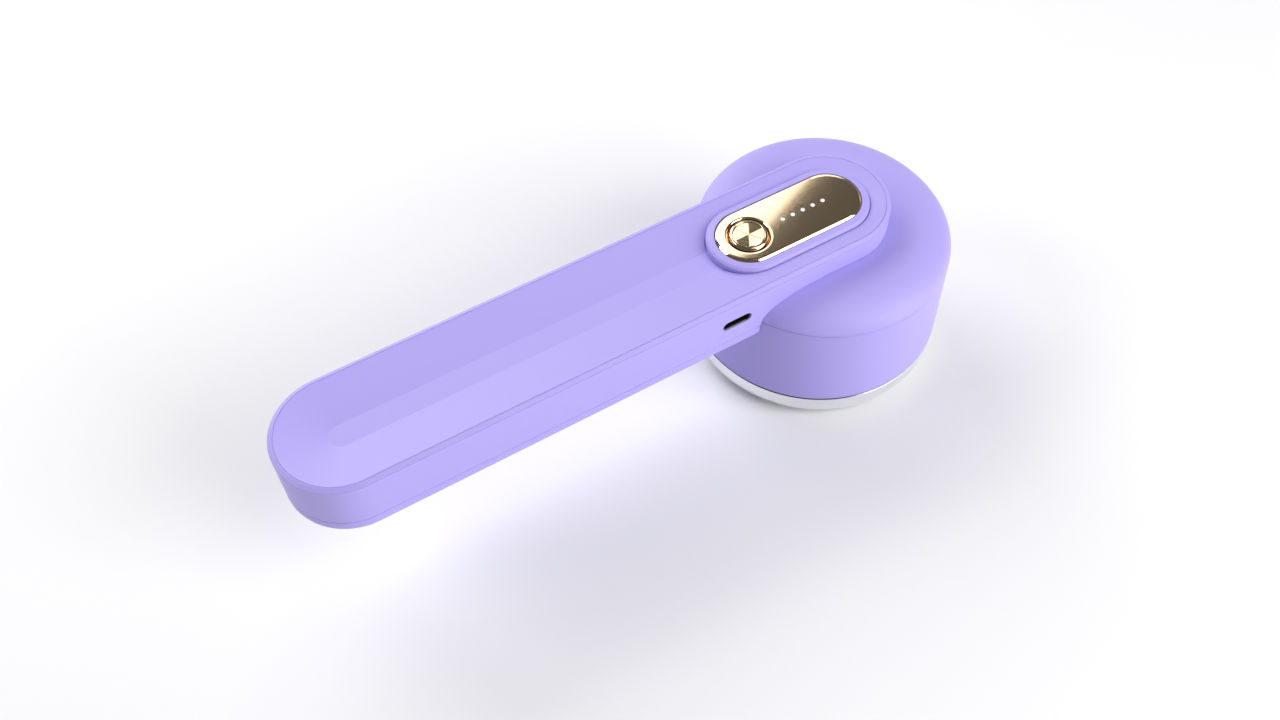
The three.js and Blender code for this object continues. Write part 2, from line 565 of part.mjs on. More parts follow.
// ---------------------------------------------------------------- cutter
function addCutter() {
  const hexStem = solid(extruded(polygonShape(3.4, 6), 4, 11.5));
  const flange = disc(5.6, 11.2, 12.6, MEDIUM);
  add('drive_coupler', cut(join(hexStem, flange), disc(SHAFT_R + 0.15, 0, 20, SMALL)), GREY_PLASTIC);

  const lean = THREE.MathUtils.degToRad(14);
  const bladeIn = 8;
  const bladeOut = 26.6;
  const lowZ = 0.6;
  const section = new THREE.Shape([v2(-0.3, 4.4), v2(-0.3, 0.35), v2(0.3, 0), v2(0.3, 4.4)]);
  const blade = new THREE.ExtrudeGeometry(section, { depth: bladeOut - bladeIn, bevelEnabled: false });
  blade.rotateX(Math.PI / 2).rotateZ(Math.PI / 2).rotateX(lean).translate(bladeIn, 0, lowZ);
  const slot = solid(new THREE.BoxGeometry(bladeOut, 1.3, 7).translate(bladeOut / 2, 0, 1.3)
    .rotateX(lean).translate(bladeIn - 0.4, 0, lowZ));

  const spokes = [];
  const cuts = [];
  for (let i = 0; i < BLADE_COUNT; i += 1) {
    const deg = (360 * i) / BLADE_COUNT;
    const group = new THREE.Group();
    group.rotation.z = THREE.MathUtils.degToRad(deg);
    shaver.add(group);
    add(`blade_${i + 1}`, solid(blade), STEEL, group);
    spokes.push(box(5, 25, -2.2, 1.6, 3.4, 6.6).rotate([0, 0, deg]));
    cuts.push(slot.rotate([0, 0, deg]));
  }
  const centre = turned([[0, 2.6], [6.5, 2.6], [7.6, 3.4], [7.6, 7.2], [6.8, 7.8], [0, 7.8]], MEDIUM);
  const bore = solid(extruded(polygonShape(3.65, 6), 0, 20));
  add('cutter_hub', cut(join(centre, ...spokes), bore, ...cuts), GREY_PLASTIC);
  add('cutter_spring', coil(4.5, 0.35, 8, 11.1, 2.5), STEEL);
}

// ---------------------------------------------------------------- lint drum, foil and retaining ring
function lintDrum() {
  const body = ringTurned([
    [DRUM_TOP.r - 0.15, DRUM_TOP.z], [DRUM_TOP.r, DRUM_TOP.z - 0.2], [DRUM_LOW.r, DRUM_LOW.z + 0.3],
    [DRUM_LOW.r - 0.3, DRUM_LOW.z], [SPIGOT_OUT, DRUM_LOW.z], [SPIGOT_OUT, SPIGOT_Z], [SPIGOT_IN, SPIGOT_Z],
    [SPIGOT_IN, DRUM_LOW.z + 1.2], [DRUM_LOW.r - 2, DRUM_LOW.z + 4], [DRUM_TOP.r - WALL - 0.1, DRUM_TOP.z],
  ]);
  const slotWidthDeg = LUG.widthDeg + 2 * LUG.clearDeg;
  const slots = lugAngles.map((deg) =>
    threadRib(SPIGOT_OUT - 1, SPIGOT_OUT + 0.3, SPIGOT_Z - 1, LUG.high + 0.35, slotWidthDeg, deg));
  return cut(body, ...slots);
}

function retainingRing() {
  const body = ringTurned([
    [RING_OUT, RING_TOP_Z], [RING_OUT, 4.4], [37.4, 2.6], [35.9, 1.3], [34, 0.6], [32, 0.4], [31, 0.6],
    [31, 1.6], [33.5, 2], [35.6, 2], [RING_IN, 3], [RING_IN, RING_TOP_Z],
  ]);
  const lugs = lugAngles.map((deg) =>
    threadRib(SPIGOT_OUT - 0.6, RING_IN + 0.3, LUG.low, LUG.high, LUG.widthDeg, deg));
  return join(body, ...lugs);
}

// Honeycomb of hexagonal holes, with a solid spot in the middle
function foilHoles() {
  const holes = [];
  const row = HOLE_PITCH * Math.sin(Math.PI / 3);
  for (let j = -6; j <= 6; j += 1) {
    for (let i = -6; i <= 6; i += 1) {
      const [x, y] = [(i + (j % 2 ? 0.5 : 0)) * HOLE_PITCH, j * row];
      const distance = Math.hypot(x, y);
      if (distance < 4 || distance + HOLE_R > FOIL_FLAT_R - 0.6) continue;
      const hole = extruded(polygonShape(HOLE_R, 6, Math.PI / 6), -1, 2).translate(x, y, 0);
      hole.deleteAttribute('uv');
      holes.push(hole);
    }
  }
  return solid(mergeGeometries(holes));
}

function addFoil() {
  const dish = turned([
    [0, 0], [FOIL_FLAT_R, 0], [29, 0.9], [29.4, FOIL_RIM_Z], [34.6, FOIL_RIM_Z],
    [34.6, FOIL_RIM_Z + FOIL_THICK], [29.1, FOIL_RIM_Z + FOIL_THICK], [28.7, 1.1],
    [FOIL_FLAT_R - 0.1, FOIL_THICK], [0, FOIL_THICK],
  ]);
  add('foil', cut(dish, foilHoles()), STEEL);
  add('foil_frame', ringTurned([[30.4, 2.5], [34.7, 2.5], [34.7, 3.5], [30.4, 3.5]], INNER), GREY_PLASTIC);
}

// ---------------------------------------------------------------- assembly
add('top_cover', topCover(), LAVENDER);
add('handle_shell', handleShell(), LAVENDER);
add('bottom_cover', bottomCover(), LAVENDER);
add('control_bezel', controlBezel(), LAVENDER);
add('gold_plate', goldPlate(), GOLD);
addButton();
addElectronics();
addBattery();
addHeadHousing();
addMotor();
addCutter();
add('lint_drum', lintDrum(), LAVENDER_HEAD);
addFoil();
add('retaining_ring', retainingRing(), CHROME);

export default shaver;
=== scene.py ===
"""Looks of a rechargeable fabric shaver: a pill-shaped handle with a gold panel and a round shaving head.

The object's lengths are millimetres in its own frame: the head's axis is the Z axis, the shaving face lies
at Z = 0 and the handle runs towards -X. MM turns them into metres. Softboxes and bumps are given in metres.
"""
import json
import math

import bmesh
import bpy
from mathutils import Matrix, Vector
from mathutils.geometry import delaunay_2d_cdt


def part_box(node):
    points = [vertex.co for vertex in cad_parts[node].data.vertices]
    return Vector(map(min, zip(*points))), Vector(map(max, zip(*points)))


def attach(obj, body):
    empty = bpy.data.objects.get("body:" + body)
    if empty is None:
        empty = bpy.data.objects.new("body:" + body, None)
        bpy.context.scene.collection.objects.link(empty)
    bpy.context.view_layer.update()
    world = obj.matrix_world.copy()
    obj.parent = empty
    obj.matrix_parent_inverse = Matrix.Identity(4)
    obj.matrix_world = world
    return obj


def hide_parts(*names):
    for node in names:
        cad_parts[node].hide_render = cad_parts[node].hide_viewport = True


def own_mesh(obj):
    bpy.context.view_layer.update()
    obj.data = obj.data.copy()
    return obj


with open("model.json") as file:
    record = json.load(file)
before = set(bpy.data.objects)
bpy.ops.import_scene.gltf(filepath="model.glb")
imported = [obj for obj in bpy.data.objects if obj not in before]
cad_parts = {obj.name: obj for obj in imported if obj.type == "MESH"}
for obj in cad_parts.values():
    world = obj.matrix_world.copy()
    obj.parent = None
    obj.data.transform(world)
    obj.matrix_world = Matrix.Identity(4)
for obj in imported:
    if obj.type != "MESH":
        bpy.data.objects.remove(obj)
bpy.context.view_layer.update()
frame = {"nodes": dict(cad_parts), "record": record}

MM = 0.001

# ---------------------------------------------------------------- driving dimensions
RIM_Z = 54
HALF_WIDTH = 18
TAIL_X = -150
TIP_X = 0
WALL = 1.8
SEAM_Z = 38.7
SEAM_GAP = 0.08       # half of the fine gap along a seam
BASE_Z = 34.1
BASE_ROUND = 2.2
CHANNEL_HALF = 3.3
CHANNEL_Z = 52

DRUM_TOP_R, DRUM_TOP_Z = 37.4, 39.4
DRUM_LOW_R, DRUM_LOW_Z = 38.2, 9.4
DOME_EDGE_Z = 39.7
DOME_TOP_Z = 47
DOME_ROUND = 16
DOME_FLAT_R = DRUM_TOP_R - DOME_ROUND
HEAD_CLEAR_R = 37.7
NECK_GAP = 0.06       # between the handle's wall and the dome below it

PANEL_TAIL_X = -27
PANEL_HALF = 12
PLATE_HALF = 9.36
PLATE_Z = 55.46
BUTTON_R = 5.7
BUTTON_HOLE_R = 6.1
BUTTON_AT = (PANEL_TAIL_X, 0)
INLAY_R = 4.45
SPRING_R, SPRING_WIRE_R, SPRING_TURNS = 3.4, 0.22, 3
DOT_FIRST_X, DOT_PITCH, DOT_COUNT, DOT_R = -15.6, 3.4, 5, 0.62

PORT_X, PORT_Z = -41.8, 46
PORT_WIDTH, PORT_HEIGHT, PORT_DEPTH, PORT_WALL = 8.94, 3.16, 7.3, 0.35

SLEEVE_OUT, SLEEVE_IN, SLEEVE_Z = 14.4, 12.6, 13
SPIGOT_OUT, SPIGOT_IN, SPIGOT_Z = 35.6, 33.4, 3.6
RING_OUT, RING_IN, RING_TOP_Z = 38.1, 36.2, 9
THREAD_LEAD = 24
LUG_LOW, LUG_HIGH, LUG_WIDTH, LUG_CLEAR = 5.4, 7.4, 18, 3
LUG_ANGLES = (0, 120, 240)
FOIL_FLAT_R = 27.6
FOIL_THICK = 0.3

NECK_SCREWS = [(-14, 13), (-14, -13), (13, 0)]
COVER_SCREWS = [(x, y) for x in (-146, -72) for y in (12.6, -12.6)]
BOARD_STAKES = [(-36, 5.2), (-36, -5.2)]
BULKHEAD_SCREWS = [(26 * math.cos(math.radians(a)), 26 * math.sin(math.radians(a))) for a in (30, 150, 270)]
MOTOR_SCREWS = [(0, 8), (0, -8)]
SCREW_HEAD_R, SCREW_HEAD_HEIGHT = 1.9, 1.2
SCREW_CORE_R, SCREW_THREAD_R, SCREW_PITCH = 0.78, 1.0, 0.8
PILOT_R = 1.3         # the hole that a screw's thread bites into
CLEAR_R = 1.4         # the hole that a screw passes
PLUNGER_HOLE_R = 2.1
WIRE_HOLE_R, WIRE_HOLE_AT = 2.6, (-21, 10.5)

ROUND = 160          # segments round the head
MEDIUM = 96          # segments round the button and the sleeve
SMALL = 32           # segments round a screw or a post
PILL_ARC = 56        # segments round each end of a pill


# ---------------------------------------------------------------- profiles
def fillet(points, closed=False, step_deg=15):
    """Rounds the corners of a polyline: a point is (u, v), or (u, v, radius) for a rounded corner."""
    result = []
    count = len(points)
    for i, point in enumerate(points):
        corner = Vector(point[:2])
        radius = point[2] if len(point) > 2 else 0
        if not radius or not (closed or 0 < i < count - 1):
            result.append(tuple(corner))
            continue
        before = Vector(points[i - 1][:2]) - corner
        after = Vector(points[(i + 1) % count][:2]) - corner
        half = before.angle(after) / 2
        reach = min(radius / math.tan(half), 0.49 * before.length, 0.49 * after.length)
        radius = reach * math.tan(half)
        middle = (before.normalized() + after.normalized()).normalized()
        centre = corner + middle * (radius / math.sin(half))
        first = (corner + before.normalized() * reach - centre).normalized()
        last = (corner + after.normalized() * reach - centre).normalized()
        across = (last - first * last.dot(first)).normalized()
        turn = math.pi - 2 * half
        steps = max(1, round(math.degrees(turn) / step_deg))
        for k in range(steps + 1):
            angle = turn * k / steps
            result.append(tuple(centre + (first * math.cos(angle) + across * math.sin(angle)) * radius))
    return result


def dome_points(offset, steps):
    """The dome's rounded shoulder from its edge to the flat top, shrunk or grown by an offset."""
    reach = DOME_ROUND + offset
    rise = DOME_TOP_Z - DOME_EDGE_Z + offset
    quarter = [math.pi / 2 * i / steps for i in range(steps + 1)]
    return [(DOME_FLAT_R + reach * math.cos(a), DOME_EDGE_Z + rise * math.sin(a)) for a in quarter]


# ---------------------------------------------------------------- meshes
def mesh_object(name, points, faces):
    """A closed mesh from points in millimetres, with its normals turned outwards."""
    mesh = bpy.data.meshes.new(name)
    mesh.from_pydata([Vector(p) * MM for p in points], [], faces)
    edit = bmesh.new()
    edit.from_mesh(mesh)
    bmesh.ops.remove_doubles(edit, verts=edit.verts, dist=2e-7)
    bmesh.ops.dissolve_degenerate(edit, edges=edit.edges, dist=1e-8)
    bmesh.ops.recalc_face_normals(edit, faces=edit.faces)
    if edit.calc_volume(signed=True) < 0:
        bmesh.ops.reverse_faces(edit, faces=edit.faces)
    edit.to_mesh(mesh)
    edit.free()
    obj = bpy.data.objects.new(name, mesh)
    bpy.context.scene.collection.objects.link(obj)
    return obj


def loft(name, loops, ring=False):
    """Joins loops of equally many points; a ring closes on itself, and otherwise both ends are capped."""
    count = len(loops[0])
    points = [p for loop in loops for p in loop]
    faces = []
    bands = len(loops) if ring else len(loops) - 1
    for band in range(bands):
        low = band * count
        high = (band + 1) % len(loops) * count
        for i in range(count):
            j = (i + 1) % count
            faces.append((low + i, low + j, high + j, high + i))
    if not ring:
        faces.append(tuple(range(count)))
        faces.append(tuple(range(len(points) - count, len(points))))
    return mesh_object(name, points, faces)


def circle(radius, z, segments, centre=(0, 0)):
    angles = [2 * math.pi * i / segments for i in range(segments)]
    return [(centre[0] + radius * math.cos(a), centre[1] + radius * math.sin(a), z) for a in angles]


def turned(name, profile, segments=ROUND, ring=False, centre=(0, 0)):
    """Turns a profile of (radius, z) points round a vertical axis."""
    if ring:
        return loft(name, [circle(r, z, segments, centre) for r, z in profile], ring=True)
    on_axis = 1e-4
    return loft(name, [circle(max(r, on_axis), z, segments, centre) for r, z in profile])


def pill_loop(half, z, x0, x1, arc=PILL_ARC):
    points = []
    for centre, start in ((x0, math.pi / 2), (x1, -math.pi / 2)):
        for i in range(arc + 1):
            angle = start + math.pi * i / arc
            points.append((centre + half * math.cos(angle), half * math.sin(angle), z))
    return points


def pill(name, profile, x0, x1, ring=False):
    """Sweeps a profile of (half width, z) points round a pill."""
    return loft(name, [pill_loop(half, z, x0, x1) for half, z in profile], ring)


def disc(radius, z0, z1, centre=(0, 0), segments=SMALL):
    return turned("tool", [(radius, z0), (radius, z1)], segments, centre=centre)


def block(x0, x1, y0, y1, z0, z1):
    return loft("tool", [[(x0, y0, z), (x1, y0, z), (x1, y1, z), (x0, y1, z)] for z in (z0, z1)])


def stadium(width, height, y, segments=16):
    """The outline of the charging port at a depth y: a slot with round ends in the XZ plane."""
    straight = (width - height) / 2
    points = []
    for side, start in ((1, -math.pi / 2), (-1, math.pi / 2)):
        for i in range(segments + 1):
            angle = start + math.pi * i / segments
            points.append((PORT_X + side * straight + height / 2 * math.cos(angle), y,
                           PORT_Z + height / 2 * math.sin(angle)))
    return points


def evaluated_mesh(obj):
    graph = bpy.context.evaluated_depsgraph_get()
    return bpy.data.meshes.new_from_object(obj.evaluated_get(graph))


def combine(obj, operation, tools):
    """Joins the tools to obj (UNION) or cuts them from it (DIFFERENCE); the tools are used up."""
    for tool in tools:
        modifier = obj.modifiers.new("combine", "BOOLEAN")
        modifier.operation = operation
        modifier.solver = "MANIFOLD"
        modifier.object = tool
    mesh = evaluated_mesh(obj)
    obj.modifiers.clear()
    obj.data = mesh
    for tool in tools:
        bpy.data.objects.remove(tool)
    return obj


def join(obj, *tools):
    return combine(obj, "UNION", tools)


def cut(obj, *tools):
    return combine(obj, "DIFFERENCE", tools)


def thread_rib(r0, r1, z0, z1, width_deg, at_deg):
    """A sector that follows the quick thread's helix."""
    steps = max(2, round((z1 - z0) / 0.25))
    across = 8
    loops = []
    for k in range(steps + 1):
        z = z0 + (z1 - z0) * k / steps
        middle = math.radians(at_deg) + 2 * math.pi * z / THREAD_LEAD
        half = math.radians(width_deg) / 2
        angles = [middle - half + 2 * half * i / across for i in range(across + 1)]
        outside = [(r1 * math.cos(a), r1 * math.sin(a), z) for a in angles]
        inside = [(r0 * math.cos(a), r0 * math.sin(a), z) for a in reversed(angles)]
        loops.append(outside + inside)
    return loft("tool", loops)


# ---------------------------------------------------------------- materials
def shade(color, factor):
    return tuple(min(1.0, c * factor) for c in color) + (1.0,)


def base_material(name, color, roughness, metallic=0.0, ior=1.46):
    material = bpy.data.materials.new(name)
    material.use_nodes = True
    shader = material.node_tree.nodes["Principled BSDF"]
    shader.inputs["Base Color"].default_value = (*color, 1)
    shader.inputs["Roughness"].default_value = roughness
    shader.inputs["Metallic"].default_value = metallic
    shader.inputs["IOR"].default_value = ior
    return material, material.node_tree, shader


def noise(tree, scale, detail=3.0, stretch=None):
    """Object-space noise; stretch scales the coordinates per axis for drawn or brushed marks."""
    coordinates = tree.nodes.new("ShaderNodeTexCoord").outputs["Object"]
    if stretch:
        mapping = tree.nodes.new("ShaderNodeMapping")
        mapping.inputs["Scale"].default_value = stretch
        tree.links.new(coordinates, mapping.inputs["Vector"])
        coordinates = mapping.outputs["Vector"]
    texture = tree.nodes.new("ShaderNodeTexNoise")
    texture.inputs["Scale"].default_value = scale
    texture.inputs["Detail"].default_value = detail
    tree.links.new(coordinates, texture.inputs["Vector"])
    return texture.outputs["Fac"]


def tint(tree, shader, factor, color, spread):
    """Lets the base colour wander a little between a darker and a lighter tone."""
    mix = tree.nodes.new("ShaderNodeMix")
    mix.data_type = "RGBA"
    mix.inputs[6].default_value = shade(color, 1 - spread)
    mix.inputs[7].default_value = shade(color, 1 + spread)
    tree.links.new(factor, mix.inputs[0])
    tree.links.new(mix.outputs[2], shader.inputs["Base Color"])


def vary_roughness(tree, shader, factor, low, high):
    ramp = tree.nodes.new("ShaderNodeMapRange")
    ramp.inputs["From Min"].default_value = 0.3
    ramp.inputs["From Max"].default_value = 0.7
    ramp.inputs["To Min"].default_value = low
    ramp.inputs["To Max"].default_value = high
    tree.links.new(factor, ramp.inputs["Value"])
    tree.links.new(ramp.outputs["Result"], shader.inputs["Roughness"])


def bump(tree, shader, height, strength, distance):
    node = tree.nodes.new("ShaderNodeBump")
    node.inputs["Strength"].default_value = strength
    node.inputs["Distance"].default_value = distance
    tree.links.new(height, node.inputs["Height"])
    tree.links.new(node.outputs["Normal"], shader.inputs["Normal"])


def moulded(name, color, roughness=0.45, grain=0.15, spread=0.035):
    """Satin moulded plastic with a very fine spark-eroded grain."""
    material, tree, shader = base_material(name, color, roughness)
    tint(tree, shader, noise(tree, 2600, 2), color, spread)
    vary_roughness(tree, shader, noise(tree, 900), roughness - 0.05, roughness + 0.05)
    bump(tree, shader, noise(tree, 5200, 2), grain, 0.00004)
    return material


def metal(name, color, roughness, grain=0.05, stretch=None, spread=0.02, scale=1500):
    """Metal with faint marks: polished with no stretch, brushed or drawn along one axis with one."""
    material, tree, shader = base_material(name, color, roughness, metallic=1.0)
    marks = noise(tree, scale, 4, stretch)
    tint(tree, shader, noise(tree, 180, 3), color, spread)
    vary_roughness(tree, shader, marks, roughness * 0.8, roughness * 1.2)
    bump(tree, shader, marks, grain, 0.00002)
    return material


def spun_metal(name, color, roughness, centre):
    """Metal with concentric turning marks round a vertical axis at centre."""
    material, tree, shader = base_material(name, color, roughness, metallic=1.0)
    coordinates = tree.nodes.new("ShaderNodeTexCoord").outputs["Object"]
    mapping = tree.nodes.new("ShaderNodeMapping")
    mapping.inputs["Location"].default_value = [-c * MM for c in (*centre, 0)]
    tree.links.new(coordinates, mapping.inputs["Vector"])
    rings = tree.nodes.new("ShaderNodeTexWave")
    rings.wave_type = "RINGS"
    rings.rings_direction = "Z"
    rings.inputs["Scale"].default_value = 900
    rings.inputs["Distortion"].default_value = 0.4
    rings.inputs["Detail"].default_value = 2
    tree.links.new(mapping.outputs["Vector"], rings.inputs["Vector"])
    tint(tree, shader, rings.outputs["Fac"], color, 0.05)
    vary_roughness(tree, shader, rings.outputs["Fac"], roughness * 0.85, roughness * 1.15)
    bump(tree, shader, rings.outputs["Fac"], 0.25, 0.00002)
    return material


def glowing(name, color, strength):
    material, tree, shader = base_material(name, color, 0.35)
    tint(tree, shader, noise(tree, 600), color, 0.06)
    shader.inputs["Emission Color"].default_value = (*color, 1)
    shader.inputs["Emission Strength"].default_value = strength
    return material


LAVENDER_COLOR = (0.415, 0.355, 0.80)
LAVENDER = moulded("lavender_satin", LAVENDER_COLOR, 0.48)
POLISHED_GOLD = metal("polished_gold", (0.88, 0.67, 0.44), 0.068, grain=0.008)
EDGE_GOLD = metal("button_gold", (0.90, 0.70, 0.46), 0.06, grain=0.01)
SPUN_GOLD = spun_metal("spun_gold", (0.86, 0.68, 0.44), 0.17, (PANEL_TAIL_X, 0))
AMBER = glowing("amber_light_guide", (1.0, 0.20, 0.01), 1.2)
STEEL = metal("brushed_steel", (0.72, 0.73, 0.75), 0.24, 0.08, stretch=(1, 1, 12))
# painted shade: the socket's steel is made near black so that the inside of the port reads dark
PORT_STEEL_PAINTED_SHADE = metal("port_steel_painted_shade", (0.10, 0.10, 0.105), 0.35, 0.08, scale=900)
CHROME = metal("polished_steel", (0.86, 0.87, 0.88), 0.07, grain=0.01)
FOIL_STEEL = metal("foil_steel", (0.78, 0.79, 0.80), 0.18, grain=0.05)
ZINC = metal("zinc_plate", (0.55, 0.56, 0.58), 0.34, 0.15, scale=900)
WHITE_PLASTIC = moulded("white_plastic", (0.78, 0.78, 0.82), 0.45)
GREY_PLASTIC = moulded("grey_plastic", (0.30, 0.30, 0.34), 0.48)
BLACK_PLASTIC = moulded("black_plastic", (0.012, 0.012, 0.014), 0.4)
RUBBER = moulded("seal_rubber", (0.035, 0.035, 0.04), 0.75, 0.3, 0.1)
FERRITE = moulded("ferrite", (0.06, 0.06, 0.065), 0.7, 0.4, 0.15)
FOAM = moulded("foam", (0.025, 0.025, 0.028), 0.95, 0.8, 0.2)
POUCH = metal("battery_pouch", (0.66, 0.67, 0.69), 0.38, 0.25, scale=500)
COPPER = metal("copper_winding", (0.72, 0.36, 0.17), 0.32, 0.4, stretch=(1, 1, 20), scale=1200)
BOARD = moulded("circuit_board", (0.015, 0.16, 0.07), 0.42, 0.2, 0.12)
RED_WIRE = moulded("red_wire", (0.62, 0.02, 0.02), 0.4)
BLACK_WIRE = moulded("black_wire", (0.01, 0.01, 0.012), 0.4)
DOT_WHITE = moulded("printed_white", (0.92, 0.92, 0.90), 0.5, 0.05, 0.01)

CAD_FINISH = {
    "lavender_plastic": LAVENDER, "polished_gold": POLISHED_GOLD, "brushed_gold": SPUN_GOLD,
    "amber_light_guide": AMBER, "steel": STEEL, "polished_steel": CHROME, "zinc": ZINC,
    "white_plastic": WHITE_PLASTIC, "grey_plastic": GREY_PLASTIC, "black_plastic": BLACK_PLASTIC,
    "seal_rubber": RUBBER, "ferrite": FERRITE, "circuit_board": BOARD, "copper_winding": COPPER,
    "battery_pouch": POUCH, "foam": FOAM, "red_wire": RED_WIRE, "black_wire": BLACK_WIRE,
}


def place(obj, body, material, slot, *nodes, sharp_deg=32):
    """Smooth shading, material and body of a finished piece, and the CAD nodes it stands for; the slot is not
    used.
    """
    obj.data.materials.clear()
    obj.data.materials.append(material)
    obj.data.polygons.foreach_set("use_smooth", [True] * len(obj.data.polygons))
    obj.data.set_sharp_from_angle(angle=math.radians(sharp_deg))
    weighted = obj.modifiers.new("weighted_normals", "WEIGHTED_NORMAL")
    weighted.keep_sharp = True
    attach(obj, body)
    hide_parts(*nodes)


# ---------------------------------------------------------------- camera
CAMERA_TURN = (30.3546, 55.1312, -0.4356)     # azimuth, elevation and roll in degrees
CAMERA_AIM = (-73.954, -19.939, RIM_Z)
CAMERA_DISTANCE = 340.486
CAMERA_LENS = 36.752


def add_camera():
    """Looks from the tail's near side, above the handle."""
    azimuth, elevation, roll = (math.radians(a) for a in CAMERA_TURN)
    aim = Vector(CAMERA_AIM) * MM
    back = Vector((-math.sin(azimuth) * math.cos(elevation), -math.cos(azimuth) * math.cos(elevation),
                   math.sin(elevation)))
    right = Vector((0, 0, 1)).cross(back).normalized()
    up = back.cross(right)
    rolled_right = right * math.cos(roll) + up * math.sin(roll)
    rolled_up = up * math.cos(roll) - right * math.sin(roll)
    camera = bpy.data.objects.new("camera", bpy.data.cameras.new("camera"))
    bpy.context.scene.collection.objects.link(camera)
    turn = Matrix((rolled_right, rolled_up, back)).transposed().to_4x4()
    camera.matrix_world = Matrix.Translation(aim + back * CAMERA_DISTANCE * MM) @ turn
    camera.data.sensor_width = 36
    camera.data.lens = CAMERA_LENS
    camera.data.clip_start = 0.01
    bpy.context.scene.camera = camera


# ---------------------------------------------------------------- handle
def top_cover():
    """The dished top with its grooved rim, the channel, the panel's pocket, and bosses and stakes below."""
    lip_out = HALF_WIDTH - WALL - 0.4
    lip_in = lip_out - 1.4
    lip_z = RIM_Z - 3
    ridge, ridge_z = HALF_WIDTH - 1.4, RIM_Z + 0.8
    groove_z = ridge_z - 0.2
    rim_groove = [(ridge + 0.1, ridge_z - 0.02, 0.1), (ridge, groove_z), (ridge - 0.12, groove_z),
                  (ridge - 0.2, ridge_z - 0.02, 0.1)]
    section = fillet([
        (CHANNEL_HALF, CHANNEL_Z - 1.7), (lip_in, RIM_Z - 1.5), (lip_in, lip_z, 0.3), (lip_out, lip_z, 0.3),
        (lip_out, RIM_Z), (HALF_WIDTH - 0.01, RIM_Z, 0.03), *rim_groove,
        (CHANNEL_HALF, CHANNEL_Z, 0.2), (CHANNEL_HALF - 0.8, CHANNEL_Z),
    ], step_deg=8)
    cover = pill("fine_top_cover", section, TAIL_X, TIP_X)
    floor_half = PANEL_HALF + 1.9
    floor = pill("tool", [(floor_half, z) for z in (CHANNEL_Z - 1.8, CHANNEL_Z - 0.05)], PANEL_TAIL_X, TIP_X)
    boss_top = CHANNEL_Z - 0.2
    bosses = [disc(2.6, DOME_TOP_Z + 0.4, boss_top, at) for at in NECK_SCREWS]
    stakes = [disc(r, z, boss_top, at) for at in BOARD_STAKES for r, z in ((1.9, 48.7), (1, 47.1))]
    join(cover, floor, *bosses, *stakes)
    pocket_half = PANEL_HALF + 0.15
    pocket = pill("tool", [(pocket_half, z) for z in (CHANNEL_Z - 0.1, RIM_Z + 4)], PANEL_TAIL_X, TIP_X)
    holes = [disc(PILOT_R, DOME_TOP_Z - 1, CHANNEL_Z - 0.7, at) for at in NECK_SCREWS]
    cut(cover, pocket, disc(PLUNGER_HOLE_R, 40, 60, BUTTON_AT), *holes)
    place(cover, "handle", LAVENDER, "lavender_plastic", "top_cover", sharp_deg=25)


TAIL_ARC = HALF_WIDTH * math.pi / 2             # length of a quarter of the pill's round end
SIDE_END = TAIL_ARC + TIP_X - TAIL_X
NECK_START_X = -46                              # from here on the rim's stations fan out over the head


def outline_point(s, depth, z):
    """A point of the handle's wall: s runs from the tail's middle along the near side to the tip's middle."""
    radius = HALF_WIDTH - depth
    if s < TAIL_ARC:
        angle = math.pi + s / HALF_WIDTH
        return (TAIL_X + radius * math.cos(angle), radius * math.sin(angle), z)
    if s <= SIDE_END:
        return (TAIL_X + s - TAIL_ARC, -radius, z)
    angle = -math.pi / 2 + (s - SIDE_END) / HALF_WIDTH
    return (TIP_X + radius * math.cos(angle), radius * math.sin(angle), z)


def side_x(r):
    """Where a circle of radius r round the head's axis meets the handle's side wall."""
    return -math.sqrt(r * r - HALF_WIDTH * HALF_WIDTH)


def neck_point(angle):
    """A point (x, z) of the wall's edge over the dome; the gap shrinks from the side to the top."""
    gap = NECK_GAP + (HEAD_CLEAR_R - DRUM_TOP_R - NECK_GAP) * math.cos(angle) ** 6
    r = DOME_FLAT_R + (DOME_ROUND + gap) * math.cos(angle)
    return side_x(r), DOME_EDGE_Z + (DOME_TOP_Z - DOME_EDGE_Z + NECK_GAP) * math.sin(angle)


def shell_edge():
    """The wall's lower edge as (s, z, s of the rim above it): along the seam, then up over the dome."""
    low = SEAM_Z + SEAM_GAP
    at = TAIL_ARC - TAIL_X
    arc = [TAIL_ARC * i / 24 for i in range(24)]
    side = [at + TAIL_X + (NECK_START_X - TAIL_X) * i / 30 for i in range(30)]
    corner_x = side_x(HEAD_CLEAR_R)
    run = [(NECK_START_X + (corner_x - 0.5 - NECK_START_X) * i / 10, low) for i in range(10)]
    bend = fillet([(NECK_START_X, low), (corner_x, low, 0.2), (corner_x, DOME_EDGE_Z + 0.3)])[1:-1]
    dome = [neck_point(math.pi / 2 * i / 60) for i in range(1, 61)]
    path = run + bend + dome
    end_x, high = dome[-1]
    fan = []
    for i, (x, z) in enumerate(path):
        share = i / (len(path) - 1)
        fan.append((at + x, z, at + NECK_START_X + (end_x - NECK_START_X) * share))
    flat = [at + end_x + (TIP_X - end_x) * i / 6 for i in range(1, 7)]
    tip = [SIDE_END + TAIL_ARC * i / 24 for i in range(1, 25)]
    return [(s, low, s) for s in arc + side] + fan + [(s, high, s) for s in flat + tip]


